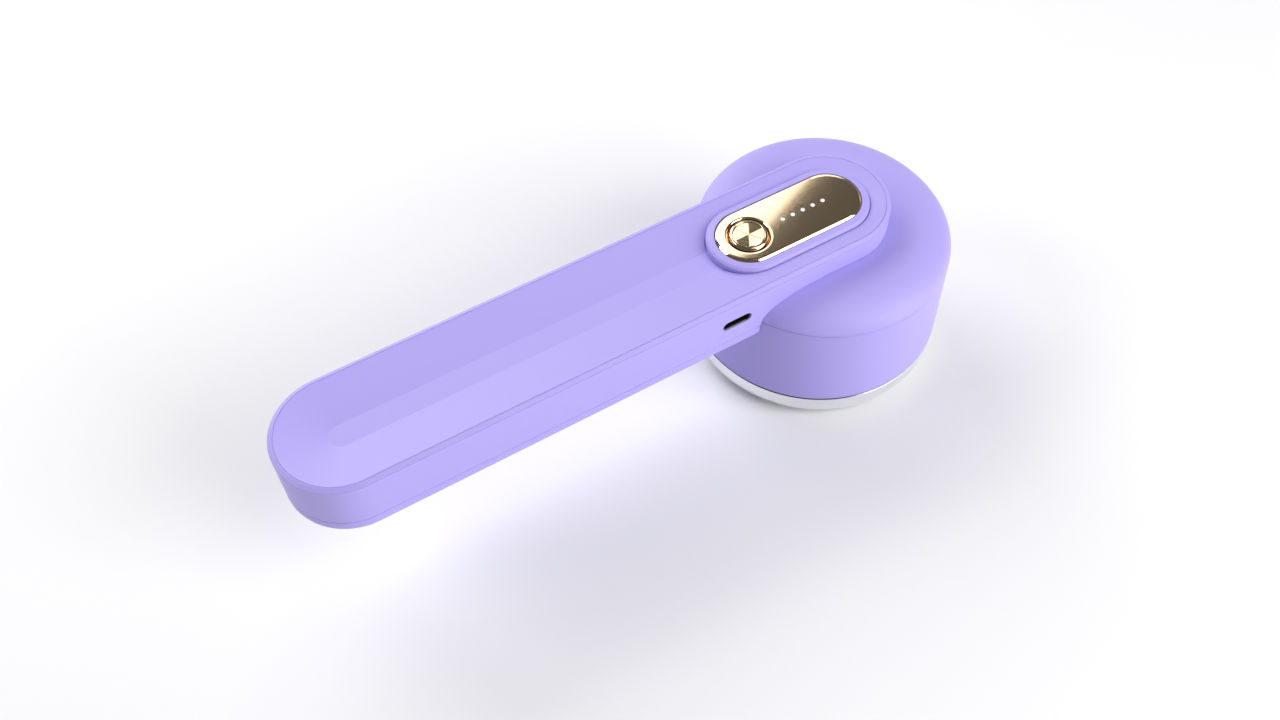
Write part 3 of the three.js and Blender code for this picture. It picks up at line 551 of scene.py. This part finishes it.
def wall_section(edge, index):
    """The closed section of the wall at one station: rounded lower edge, outside, rounded rim, inside."""
    s, z, rim_s = edge[index]
    before = Vector(edge[max(index - 1, 0)][:2])
    after = Vector(edge[min(index + 1, len(edge) - 1)][:2])
    along = (after - before).normalized()
    inward = Vector((-along.y, along.x))
    section = []
    taper = 0.1
    on_seam = z < SEAM_Z + 0.2
    rounding = 0.12 if on_seam else 0.4
    for i in range(6):
        angle = math.pi / 2 * i / 5
        depth = rounding * (1 - math.sin(angle)) + taper
        step = rounding * (1 - math.cos(angle))
        section.append(outline_point(s + inward.x * step, depth, z + inward.y * step))
    rim_round = 0.03
    top = RIM_Z - 0.015
    for i in range(4):
        angle = math.pi / 2 * i / 3
        depth = rim_round * (1 - math.cos(angle))
        section.append(outline_point(rim_s, depth, top - rim_round + rim_round * math.sin(angle)))
    section.append(outline_point(rim_s, WALL, top))
    section.append(outline_point(s, WALL + taper, z))
    return section


def handle_shell():
    """The side wall with its screw posts, each tied to the wall by a web, and the port's flared opening."""
    edge = shell_edge()
    near = [wall_section(edge, i) for i in range(len(edge))]
    far = [[(x, -y, z) for x, y, z in section] for section in reversed(near[1:-1])]
    shell = loft("fine_handle_shell", near + far, ring=True)
    web_y = HALF_WIDTH - WALL + 0.5
    post_low, post_high = SEAM_Z + 1.2, 49
    posts = []
    for x, y in COVER_SCREWS:
        posts.append(disc(2.7, post_low, post_high, (x, y)))
        posts.append(block(x - 1, x + 1, *sorted((y, math.copysign(web_y, y))), post_low, post_high))
    join(shell, *posts)
    # The port's opening as (widening, distance from the wall's face), from outside the wall to inside it
    flare = ((0.75, 0.6), (0.16, 0), (0.05, -0.08), (0, -0.2), (0, -3))
    wide, high = PORT_WIDTH + 0.2, PORT_HEIGHT + 0.2
    port = loft("tool", [stadium(wide + 2 * w, high + 2 * w, -HALF_WIDTH - out) for w, out in flare])
    cut(shell, port, *[disc(PILOT_R, SEAM_Z - 1, 47.5, at) for at in COVER_SCREWS])
    place(shell, "handle", LAVENDER, "lavender_plastic", "handle_shell", sharp_deg=28)


def cover_outline(inset, z):
    """The bottom cover in plan: round tail, straight sides and a concave end that follows the head."""
    corner = 0.45
    half = HALF_WIDTH - 0.1 - inset
    inner_half = half - corner
    reach = HEAD_CLEAR_R + inset + corner
    centre = Vector((-math.sqrt(reach ** 2 - inner_half ** 2), -inner_half))
    to_head = (-centre).normalized()
    near = []
    for i in range(33):
        angle = math.pi + math.pi / 2 * i / 32
        near.append((TAIL_X + half * math.cos(angle), half * math.sin(angle)))
    for i in range(1, 24):
        near.append((TAIL_X + (centre.x - TAIL_X) * i / 24, -half))
    start = -math.pi / 2
    turn = math.atan2(to_head.y, to_head.x) - start
    for i in range(9):
        angle = start + turn * i / 8
        near.append((centre.x + corner * math.cos(angle), centre.y + corner * math.sin(angle)))
    concave_r = HEAD_CLEAR_R + inset
    first = math.atan2(centre.y, centre.x)
    for i in range(1, 25):
        angle = first + (-math.pi - first) * i / 24
        near.append((concave_r * math.cos(angle), concave_r * math.sin(angle)))
    far = [(x, -y) for x, y in reversed(near[1:-1])]
    return [(x, y, z) for x, y in near + far]


def bottom_cover():
    """The underside: a rounded tray with a locating lip, ribs, the battery's cradle and screw pads."""
    rounding = []
    for i in range(9):
        angle = math.pi / 2 * i / 8
        rounding.append((BASE_ROUND * (1 - math.sin(angle)), BASE_Z + BASE_ROUND * (1 - math.cos(angle))))
    seam_z = SEAM_Z - SEAM_GAP
    sides = rounding + fillet([(0, BASE_Z + BASE_ROUND), (0, seam_z, 0.12), (1, seam_z)])[1:]
    cover = loft("fine_bottom_cover", [cover_outline(inset, z) for inset, z in sides])
    lip_inset = WALL + 0.2
    lip_inner = lip_inset + 1.2
    cut(cover, loft("tool", [cover_outline(lip_inset + 1.0, z) for z in (BASE_Z + WALL, SEAM_Z + 4)]))
    lip_low, lip_high = SEAM_Z - 1, SEAM_Z + 0.9
    lip_corners = ((lip_inset, lip_low), (lip_inset, lip_high), (lip_inner, lip_high), (lip_inner, lip_low))
    lip = loft("tool", [cover_outline(inset, z) for inset, z in lip_corners], ring=True)
    ribs = [block(x - 0.8, x + 0.8, -12, 12, BASE_Z + 1, 42.8) for x in (-58, -44)]
    cradle = [block(x - 0.8, x + 0.8, -13, 13, BASE_Z + 1, 38) for x in (-132, -110, -88)]
    pads = [disc(3.3, BASE_Z + 1, SEAM_Z + 0.8, at) for at in COVER_SCREWS]
    join(cover, lip, *ribs, *cradle, *pads)
    bore_sizes = ((CLEAR_R, SEAM_Z + 2), (SCREW_HEAD_R + 0.5, BASE_Z + 1.9))
    bores = [disc(r, BASE_Z - 1, z, at) for at in COVER_SCREWS for r, z in bore_sizes]
    cut(cover, *bores)
    place(cover, "handle", LAVENDER, "lavender_plastic", "bottom_cover", sharp_deg=25)


# ---------------------------------------------------------------- control panel
def panel_loop(half, z):
    """The panel's pill, with points along its straight sides at even angles as seen from the button."""
    straight = []
    first = math.atan2(TIP_X - PANEL_TAIL_X, half)
    for i in range(1, 28):
        straight.append(PANEL_TAIL_X + half * math.tan(first * i / 28))
    arcs = pill_loop(half, z, PANEL_TAIL_X, TIP_X)
    turn = len(arcs) // 2
    near = [(x, -half, z) for x in straight]
    far = [(x, half, z) for x in reversed(straight)]
    return arcs[:turn] + near + arcs[turn:] + far


def star_loop(radius, z):
    """A circle round the button with one point in line with each point of the panel's pill."""
    points = []
    for x, y, _ in panel_loop(PLATE_HALF, 0):
        angle = math.atan2(y, x - PANEL_TAIL_X)
        points.append((PANEL_TAIL_X + radius * math.cos(angle), radius * math.sin(angle), z))
    return points


def panel_ring(name, outside, hole):
    """A pill-shaped plate with a round hole: profiles run up the outside and down the hole."""
    loops = [panel_loop(half, z) for half, z in outside]
    loops += [star_loop(r, z) for r, z in hole]
    return loft(name, loops, ring=True)


def control_panel():
    """The raised tray, the gold plate in it and the row of dots on the plate."""
    plate_wall = PLATE_HALF + 0.24
    shelf_z, seat_z = 53.8, 53.9
    tray = fillet([
        (PANEL_HALF - 0.15, CHANNEL_Z), (PANEL_HALF, 54.2, 0.5), (PANEL_HALF - 0.7, 54.9, 0.5),
        (plate_wall + 0.35, 55.2, 0.25), (plate_wall, 55.2, 0.1), (plate_wall, shelf_z), (8, shelf_z)])
    bezel = panel_ring("fine_control_bezel", tray, [(6.95, shelf_z), (6.95, CHANNEL_Z)])
    place(bezel, "handle", LAVENDER, "lavender_plastic", "control_bezel", sharp_deg=30)
    rim = fillet([
        (PLATE_HALF - 1, seat_z), (PLATE_HALF, seat_z), (PLATE_HALF, PLATE_Z - 0.42, 0.06),
        (PLATE_HALF - 0.5, PLATE_Z, 0.06), (PLATE_HALF - 1.2, PLATE_Z)])
    hole = fillet([
        (BUTTON_HOLE_R + 0.8, PLATE_Z), (BUTTON_HOLE_R + 0.25, PLATE_Z, 0.06),
        (BUTTON_HOLE_R, PLATE_Z - 0.25, 0.06), (BUTTON_HOLE_R, seat_z)])
    plate = panel_ring("fine_gold_plate", rim, hole)
    place(plate, "handle", POLISHED_GOLD, "polished_gold", "gold_plate", sharp_deg=30)
    for i in range(DOT_COUNT):
        charge_dot(f"charge_dot_{i + 1}", DOT_FIRST_X + DOT_PITCH * i)


def charge_dot(name, x):
    """A plain round dot of print, a hair proud of the plate."""
    low, edge, top = PLATE_Z - 0.1, PLATE_Z + 0.02, PLATE_Z + 0.06
    profile = [(0, low), (DOT_R, low), (DOT_R, edge), (DOT_R - 0.08, top), (0, top)]
    dot = turned(name, profile, SMALL, centre=(x, 0))
    place(dot, "handle", DOT_WHITE, "white_plastic")


def button():
    """The cap with its spun disc, a black lining of its hole painted as the shade in the gap round the cap,
    and the light guide below the gap.
    """
    cap = turned("fine_button_cap", fillet([
        (0, 50.75), (1.6, 50.75, 0.2), (1.6, 54.5), (5, 54.5), (5, 53.3), (BUTTON_R, 53.3),
        (BUTTON_R, 55.1, 0.7), (5.15, 55.92, 0.7), (4.6, 56, 0.12), (4.55, 55.85), (4.55, 55.1), (0, 55.1),
    ], step_deg=10), MEDIUM, centre=BUTTON_AT)
    place(cap, "button", EDGE_GOLD, "polished_gold", "button_cap", sharp_deg=35)
    inlay = button_inlay()
    place(inlay, "button", SPUN_GOLD, "brushed_gold", "button_inlay", sharp_deg=4)
    # painted shade: a thin black sleeve over the hole's gold wall makes the gap round the cap read dark
    inner, outer, low, high = 5.99, 6.08, 53.78, 55.22
    shadow_lining = fillet([(inner, low), (outer, low), (outer, high), (inner, high, 0.03)], closed=True)
    gap_shadow_lining = turned("button_gap_shadow", shadow_lining, MEDIUM, ring=True, centre=BUTTON_AT)
    place(gap_shadow_lining, "handle", BLACK_PLASTIC, "black_plastic")
    inner, outer, low, high = 5.95, 6.7, 52.1, 53.7
    guide = fillet([(inner, low), (outer, low), (outer, high, 0.2), (inner, high, 0.2)], closed=True)
    light = turned("fine_light_ring", guide, MEDIUM, ring=True, centre=BUTTON_AT)
    place(light, "handle", AMBER, "amber_light_guide", "light_ring")


def button_spring():
    """A coil of steel wire round the plunger."""
    lowest, highest = (corner[2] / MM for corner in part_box("button_spring"))
    height = highest - lowest
    steps = 96
    around = [2 * math.pi * i / 10 for i in range(10)]
    section = [(SPRING_R + SPRING_WIRE_R * math.cos(a), SPRING_WIRE_R * math.sin(a)) for a in around]
    loops = []
    for k in range(steps + 1):
        turn = 2 * math.pi * SPRING_TURNS * k / steps
        z = lowest + SPRING_WIRE_R + (height - 2 * SPRING_WIRE_R) * k / steps
        along_x, along_y = math.cos(turn), math.sin(turn)
        loops.append([(PANEL_TAIL_X + r * along_x, r * along_y, z + lift) for r, lift in section])
    spring = loft("fine_button_spring", loops)
    place(spring, "handle", STEEL, "steel", "button_spring", sharp_deg=60)
    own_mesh(spring)


def button_inlay():
    """A disc cut into six facets; opposite facets lean the same way, so that they catch the same light."""
    low, high = 55.2, 55.82
    leans = [(0.4, -1.0), (-0.6, 1.0), (-1.0, 0.35)]     # direction in which each pair of facets faces
    slope = math.tan(math.radians(4.2))
    bevel_size = 0.12
    groove = math.radians(1.2)
    points, faces = [], []
    steps = 16

    def corner(radius, angle, lean, drop=0.0):
        x, y = radius * math.cos(angle), radius * math.sin(angle)
        lean_x, lean_y = Vector(lean).normalized()
        z = high - slope * (x * lean_x + y * lean_y) - drop
        return (PANEL_TAIL_X + x, y, z)

    for sector in range(6):
        lean = leans[sector % 3]
        first = math.radians(60 * sector)
        angles = [first + groove + (math.pi / 3 - 2 * groove) * i / steps for i in range(steps + 1)]
        start = len(points)
        edge = start + 1
        bevel = edge + steps + 1
        base = bevel + steps + 1
        middle = base + steps + 1
        points.append(corner(0.22, first + math.pi / 6, lean))
        points += [corner(INLAY_R - bevel_size, a, lean) for a in angles]
        points += [corner(INLAY_R, a, lean, bevel_size) for a in angles]
        points += [(x, y, low) for x, y, _ in points[bevel:]]
        points.append((*points[start][:2], low))
        for i in range(steps):
            faces.append((start, edge + i, edge + i + 1))
            faces.append((edge + i, bevel + i, bevel + i + 1, edge + i + 1))
            faces.append((bevel + i, base + i, base + i + 1, bevel + i + 1))
            faces.append((middle, base + i + 1, base + i))
        faces.append((start, middle, base, bevel, edge))
        faces.append((start, edge + steps, bevel + steps, base + steps, middle))
    facets = mesh_object("fine_button_inlay", points, faces)
    backing_r, backing_top = INLAY_R - 0.02, 55.5
    backing = turned("tool", [(0, low), (backing_r, low), (backing_r, backing_top), (0, backing_top)], MEDIUM,
                     centre=BUTTON_AT)
    return join(facets, backing)


# ---------------------------------------------------------------- charging port
def charging_port():
    """The socket's steel shell, open at the front, with slightly chamfered lips; its near black colour is
    painted shade for the dark inside of the port.
    """
    front = -HALF_WIDTH + 0.3
    back = front + PORT_DEPTH
    lip = 0.06
    outline = [(0, back), (0, front + 0.08), (lip, front), (PORT_WALL - lip, front),
               (PORT_WALL, front + 0.08), (PORT_WALL, back - 0.5)]
    loops = [stadium(PORT_WIDTH - 2 * inset, PORT_HEIGHT - 2 * inset, y) for inset, y in outline]
    socket = loft("fine_usb_socket", loops)
    place(socket, "handle", PORT_STEEL_PAINTED_SHADE, "steel", "usb_socket", sharp_deg=35)


# ---------------------------------------------------------------- head
def head_dome():
    """The head's upper shell, with blind bosses for the bulkhead and holes for neck screws and wires."""
    inner_r = DRUM_TOP_R - WALL
    low = DOME_EDGE_Z - 0.12
    rim = fillet([(inner_r, low), (DRUM_TOP_R, low, 0.03), (DRUM_TOP_R, DOME_EDGE_Z + 0.1)])
    inside = [(0, DOME_TOP_Z - WALL), *reversed(dome_points(-WALL, 16))]
    outside = [*dome_points(0, 40)[1:], (0, DOME_TOP_Z)]
    dome = turned("fine_head_dome", inside + rim + outside)
    bosses = [disc(2.8, 41.7, DOME_TOP_Z - WALL + 0.2, at) for at in BULKHEAD_SCREWS]
    join(dome, *bosses)
    blind = [disc(PILOT_R, 40, 45, at) for at in BULKHEAD_SCREWS]
    through = [disc(CLEAR_R, 40, 50, at) for at in NECK_SCREWS]
    cut(dome, *blind, *through, disc(WIRE_HOLE_R, 40, 50, WIRE_HOLE_AT))
    place(dome, "handle", LAVENDER, "lavender_plastic", "head_dome", sharp_deg=25)


def motor_bulkhead():
    """The lint chamber's ceiling with the motor's sleeve, and the rubber seal in the groove round it."""
    low, high = 39.9, 41.4
    ceiling_r, groove_r, neck_r = 33.2, 34.2, 35
    sleeve_floor = SLEEVE_Z + 1.7
    shaft_hole_r = 4.2
    body = turned("fine_motor_bulkhead", fillet([
        (shaft_hole_r, SLEEVE_Z), (SLEEVE_OUT - 1.5, SLEEVE_Z, 0.4), (SLEEVE_OUT, SLEEVE_Z + 1.5, 0.6),
        (SLEEVE_OUT, low, 1.2), (ceiling_r, low, 0.8), (ceiling_r, 34.4, 0.3), (34.4, 34.4, 0.3),
        (neck_r, 35.2, 0.3), (neck_r, 36.3, 0.15), (groove_r, 36.3, 0.1), (groove_r, 37.9, 0.1),
        (neck_r, 37.9, 0.15), (neck_r, low + 0.2, 0.2), (groove_r, low + 0.8, 0.2), (groove_r, high, 0.2),
        (SLEEVE_IN, high, 0.3), (SLEEVE_IN, sleeve_floor, 0.3), (shaft_hole_r, sleeve_floor),
    ], closed=True), MEDIUM, ring=True)
    bulkhead_holes = [disc(CLEAR_R, 36, 44, at) for at in BULKHEAD_SCREWS]
    motor_holes = [disc(CLEAR_R, 10, 20, at) for at in MOTOR_SCREWS]
    cut(body, *bulkhead_holes, *motor_holes)
    place(body, "handle", WHITE_PLASTIC, "white_plastic", "motor_bulkhead", sharp_deg=30)
    around = [2 * math.pi * i / 16 for i in range(16)]
    section = [(34.9 + 0.45 * math.cos(a), 37.1 + 0.6 * math.sin(a)) for a in around]
    seal = turned("fine_drum_seal", section, MEDIUM, ring=True)
    place(seal, "handle", RUBBER, "seal_rubber", "drum_seal", sharp_deg=60)


def lint_drum():
    """The lint container: a tapered wall over a spigot with three sloping slots for the ring's lugs."""
    top_z = DRUM_TOP_Z + 0.02
    drum = turned("fine_lint_drum", fillet([
        (DRUM_TOP_R, top_z, 0.03), (DRUM_LOW_R, DRUM_LOW_Z + 0.35, 0.12),
        (DRUM_LOW_R - 0.35, DRUM_LOW_Z, 0.12), (SPIGOT_OUT, DRUM_LOW_Z),
        (SPIGOT_OUT, SPIGOT_Z, 0.25), (SPIGOT_IN, SPIGOT_Z, 0.25), (SPIGOT_IN, DRUM_LOW_Z + 1.2, 1.5),
        (DRUM_LOW_R - 2, DRUM_LOW_Z + 4, 1.5), (DRUM_TOP_R - WALL - 0.1, top_z, 0.3),
    ], closed=True), ROUND, ring=True)
    slot_width = LUG_WIDTH + 2 * LUG_CLEAR
    slots = [thread_rib(SPIGOT_OUT - 1, SPIGOT_OUT + 0.3, SPIGOT_Z - 1, LUG_HIGH + 0.35, slot_width, a)
             for a in LUG_ANGLES]
    cut(drum, *slots)
    place(drum, "drum", LAVENDER, "lavender_plastic", "lint_drum", sharp_deg=28)


def gap_shadow_band():
    """A thin black band of painted shadow: it shows as the dark line of the shadow gap between the drum and
    the retaining ring.
    """
    inner_r, outer_r = RING_IN + 0.3, RING_OUT - 0.03
    low, high = RING_TOP_Z + 0.03, DRUM_LOW_Z - 0.03
    corners = [(inner_r, low), (outer_r, low, 0.04), (outer_r, high, 0.04), (inner_r, high)]
    # painted shadow: the black band stands where the gap between the drum and the ring only falls into shade
    shadow_band = turned("gap_shadow_band", fillet(corners, closed=True), ROUND, ring=True)
    place(shadow_band, "drum", RUBBER, "seal_rubber")


def retaining_ring():
    """The polished ring that holds the foil, with three lugs on its inside that run in the drum's slots."""
    ring = turned("fine_retaining_ring", fillet([
        (RING_OUT, RING_TOP_Z, 0.25), (RING_OUT, 4.4, 2.0), (37.4, 2.6, 1.2), (35.9, 1.3, 1.5), (34, 0.6, 2),
        (32, 0.4, 0.6), (31, 0.6, 0.35), (31, 1.6, 0.3), (33.5, 2), (35.6, 2, 0.3), (RING_IN, 3, 0.3),
        (RING_IN, RING_TOP_Z, 0.25),
    ], closed=True, step_deg=8), ROUND, ring=True)
    lugs = [thread_rib(SPIGOT_OUT - 0.6, RING_IN + 0.3, LUG_LOW, LUG_HIGH, LUG_WIDTH, a) for a in LUG_ANGLES]
    join(ring, *lugs)
    place(ring, "ring", CHROME, "polished_steel", "retaining_ring", sharp_deg=30)


HOLE_PITCH, HOLE_ROWS, SOLID_SPOT_R = 2.7, 12, 2.2


def foil_hole_loops():
    """Honeycomb of round holes that grow towards the rim, with a solid spot in the middle."""
    row = HOLE_PITCH * math.sin(math.pi / 3)
    around = [2 * math.pi * k / 12 for k in range(12)]
    loops = []
    for j in range(-HOLE_ROWS, HOLE_ROWS + 1):
        shift = 0.5 if j % 2 else 0
        for i in range(-HOLE_ROWS, HOLE_ROWS + 1):
            x, y = (i + shift) * HOLE_PITCH, j * row
            distance = math.hypot(x, y)
            radius = 0.85 + 0.25 * distance / FOIL_FLAT_R
            if distance < SOLID_SPOT_R or distance + radius > FOIL_FLAT_R - 0.7:
                continue
            loops.append([(x + radius * math.cos(a), y + radius * math.sin(a)) for a in around])
    return loops


def perforated_disc():
    """Points and triangles of the foil's flat face between its round edge and its holes."""
    edge = [(x, y) for x, y, _ in circle(FOIL_FLAT_R, 0, 120)]
    coordinates, outlines = [], []
    for loop in [edge, *foil_hole_loops()]:
        start = len(coordinates)
        coordinates += [Vector(p) for p in loop]
        outlines.append(list(range(start, start + len(loop))))
    points, _, triangles, _, _, origins = delaunay_2d_cdt(coordinates, [], outlines, 1, 1e-6)
    kept = [t for t, origin in zip(triangles, origins) if list(origin) == [0]]
    return points, kept


def open_edges(triangles):
    """The edges that only one triangle uses, in the direction in which it runs round them."""
    used = dict.fromkeys(edge for a, b, c in triangles for edge in ((a, b), (b, c), (c, a)))
    return [(a, b) for a, b in used if (b, a) not in used]


def foil():
    """The perforated face with its dished rim, as one thin closed shell, and the frame that clamps it."""
    points, triangles = perforated_disc()
    count = len(points)
    all_points = [(p.x, p.y, level) for level in (0, FOIL_THICK) for p in points]
    faces = [tuple(reversed(t)) for t in triangles]
    faces += [tuple(count + i for i in t) for t in triangles]
    rim = fillet([(FOIL_FLAT_R, 0), (29, 0.9, 0.8), (29.4, 2.1, 0.3), (34.6, 2.1)], step_deg=20)[1:]
    edge_r, edge_z = rim[-1]
    slope_inset = 0.12      # thickens the sloping part of the rim, which rises steeply
    upper = [(edge_r, edge_z + FOIL_THICK)]
    upper += [(r - slope_inset, z + FOIL_THICK) for r, z in reversed(rim[:-1])]
    for a, b in open_edges(triangles):
        on_rim = min(points[a].length, points[b].length) > FOIL_FLAT_R - 1e-3
        previous = (a, b)
        for r, z in rim + upper if on_rim else []:
            start = len(all_points)
            for i in (a, b):
                angle = math.atan2(points[i].y, points[i].x)
                all_points.append((r * math.cos(angle), r * math.sin(angle), z))
            faces.append((*previous, start + 1, start))
            previous = (start, start + 1)
        faces.append((*previous, count + b, count + a))
    piece = mesh_object("fine_foil", all_points, faces)
    place(piece, "foil_unit", FOIL_STEEL, "steel", "foil", sharp_deg=30)
    frame_ring = turned("fine_foil_frame", fillet([
        (30.4, 2.5, 0.2), (34.7, 2.5, 0.15), (34.7, 3.5, 0.3), (30.4, 3.5, 0.4),
    ], closed=True), MEDIUM, ring=True)
    place(frame_ring, "foil_unit", GREY_PLASTIC, "grey_plastic", "foil_frame")


# ---------------------------------------------------------------- screws
def screw(node, at, z, length):
    """A pan-head screw with a cross recess, its tip up; z is the height of its head's seat."""
    x, y = at
    low = z - SCREW_HEAD_HEIGHT
    head = fillet([
        (SCREW_HEAD_R - 1.1, low), (SCREW_HEAD_R, low, 0.7), (SCREW_HEAD_R, z, 0.1), (SCREW_CORE_R, z)])
    thread = []
    for i in range(int((length - 1.4) / SCREW_PITCH)):
        start = z + 0.2 + SCREW_PITCH * i
        thread += [(SCREW_CORE_R, start), (SCREW_THREAD_R, start + SCREW_PITCH / 2)]
    tip = [(SCREW_CORE_R, z + length - 1), (0.25, z + length), (0, z + length)]
    body = turned(f"fine_{node}", [(0, low), *head[1:], *thread, *tip], SMALL, centre=at)
    arms = ((0.95, 0.2), (0.2, 0.95))
    cut(body, *[block(x - a, x + a, y - b, y + b, low - 0.5, low + 0.7) for a, b in arms])
    place(body, "handle", STEEL, "steel", node, sharp_deg=35)


def screws():
    """Every group's name, places, height of the heads' seat and length."""
    groups = (
        ("bulkhead_screw", BULKHEAD_SCREWS, 39.8, 4.8), ("neck_screw", NECK_SCREWS, 45.1, 5.6),
        ("cover_screw", COVER_SCREWS, BASE_Z + 1.8, 9.6), ("motor_screw", MOTOR_SCREWS, SLEEVE_Z - 0.1, 4),
    )
    for name, places, z, length in groups:
        for i, at in enumerate(places):
            screw(f"{name}_{i + 1}", at, z, length)


# ---------------------------------------------------------------- inner CAD nodes that keep their shape
def finish_cad_nodes():
    """Gives every CAD node the finish of the record's slot that it names."""
    slots = {part["node"]: part["material_slot"] for part in frame["record"]["subparts"]}
    for name, obj in frame["nodes"].items():
        obj.data.materials.clear()
        obj.data.materials.append(CAD_FINISH[slots[name]])


# ---------------------------------------------------------------- studio
FLOOR_R = 1250
FLOOR_FADE_R, FLOOR_CLEAR_R = 450, 1225         # where the floor starts to fade and where it is clear
FLOOR_COLOR = (0.85, 0.85, 0.86)
HORIZON_GREY, SKY_GREY = 0.97, 0.11
MIDDLE = Vector((-0.05, 0, 0.04))
# Softboxes round the object: azimuth and elevation in degrees, then distance, width and height in metres,
# and radiance
SOFTBOXES = {
    "front_low": (304, 14, 1.1, 0.9, 0.46, 3.9),
    "front_mid": (302, 35, 1.0, 0.7, 0.45, 5.4),
    "front_high": (300, 60, 0.9, 0.4, 0.4, 3.0),
    "back_low": (97, 14, 1.1, 0.75, 0.44, 2.3),
    "back_mid": (99, 35, 1.0, 0.7, 0.45, 5.1),
    "back_left": (150, 35, 1.0, 0.45, 0.35, 6.2),
}
# The panel mirrors this level softbox, whose front edge is the border between bright and dark on the gold
TOP_BACK_AT = (0.252, 0.546, 0.655)


def area_light(name, location, target, width, height, radiance, turn_deg=0):
    """A rectangular softbox; its power follows from its area and the radiance that it should show."""
    data = bpy.data.lights.new(name, "AREA")
    data.shape = "RECTANGLE"
    data.size, data.size_y = width, height
    data.energy = radiance * math.pi * width * height
    light = bpy.data.objects.new(name, data)
    bpy.context.scene.collection.objects.link(light)
    aim = Vector(target) - Vector(location)
    facing = aim.to_track_quat("-Z", "Y").to_matrix().to_4x4()
    turn = Matrix.Rotation(math.radians(turn_deg), 4, "Z")
    light.matrix_world = Matrix.Translation(location) @ turn @ facing
    light.visible_camera = False


def fading_floor():
    """A pale floor that fades into the white of the world before its edge, so that no horizon shows."""
    floor = loft("floor", [circle(FLOOR_R, z, SMALL) for z in (-20, -0.1)])
    material, tree, shader = base_material("pale_floor", FLOOR_COLOR, 0.75)
    tint(tree, shader, noise(tree, 3), FLOOR_COLOR, 0.01)
    position = tree.nodes.new("ShaderNodeTexCoord").outputs["Object"]
    distance = tree.nodes.new("ShaderNodeVectorMath")
    distance.operation = "LENGTH"
    fade = tree.nodes.new("ShaderNodeMapRange")
    fade.interpolation_type = "SMOOTHSTEP"
    fade.inputs["From Min"].default_value = FLOOR_FADE_R * MM
    fade.inputs["From Max"].default_value = FLOOR_CLEAR_R * MM
    clear = tree.nodes.new("ShaderNodeBsdfTransparent")
    blend = tree.nodes.new("ShaderNodeMixShader")
    tree.links.new(position, distance.inputs[0])
    tree.links.new(distance.outputs["Value"], fade.inputs["Value"])
    tree.links.new(fade.outputs["Result"], blend.inputs["Fac"])
    tree.links.new(shader.outputs["BSDF"], blend.inputs[1])
    tree.links.new(clear.outputs["BSDF"], blend.inputs[2])
    tree.links.new(blend.outputs["Shader"], tree.nodes["Material Output"].inputs["Surface"])
    floor.data.materials.append(material)


def studio():
    """The floor, the softboxes and a world that is white at the horizon and dim above."""
    fading_floor()
    for name, (azimuth, elevation, distance, width, height, radiance) in SOFTBOXES.items():
        turn, tilt = math.radians(azimuth), math.radians(elevation)
        away = Vector((math.cos(turn) * math.cos(tilt), math.sin(turn) * math.cos(tilt), math.sin(tilt)))
        area_light(name, MIDDLE + away * distance, MIDDLE, width, height, radiance)
    straight_down = (*TOP_BACK_AT[:2], 0)
    area_light("top_back", TOP_BACK_AT, straight_down, 0.5, 0.3, radiance=2.0, turn_deg=23.6)

    world = bpy.data.worlds.new("studio")
    bpy.context.scene.world = world
    world.use_nodes = True
    nodes, links = world.node_tree.nodes, world.node_tree.links
    direction = nodes.new("ShaderNodeTexCoord").outputs["Generated"]
    split = nodes.new("ShaderNodeSeparateXYZ")
    ramp = nodes.new("ShaderNodeValToRGB")
    ramp.color_ramp.elements[0].position = 0.02
    ramp.color_ramp.elements[0].color = (HORIZON_GREY, HORIZON_GREY, HORIZON_GREY, 1)
    ramp.color_ramp.elements[1].position = 0.10
    ramp.color_ramp.elements[1].color = (SKY_GREY, SKY_GREY, SKY_GREY, 1)
    links.new(direction, split.inputs["Vector"])
    links.new(split.outputs["Z"], ramp.inputs["Fac"])
    links.new(ramp.outputs["Color"], nodes["Background"].inputs["Color"])
    bpy.context.scene.view_settings.view_transform = "Standard"


# ---------------------------------------------------------------- assembly
add_camera()
top_cover()
handle_shell()
bottom_cover()
control_panel()
button()
button_spring()
charging_port()
head_dome()
motor_bulkhead()
lint_drum()
gap_shadow_band()
retaining_ring()
foil()
screws()
finish_cad_nodes()
studio()
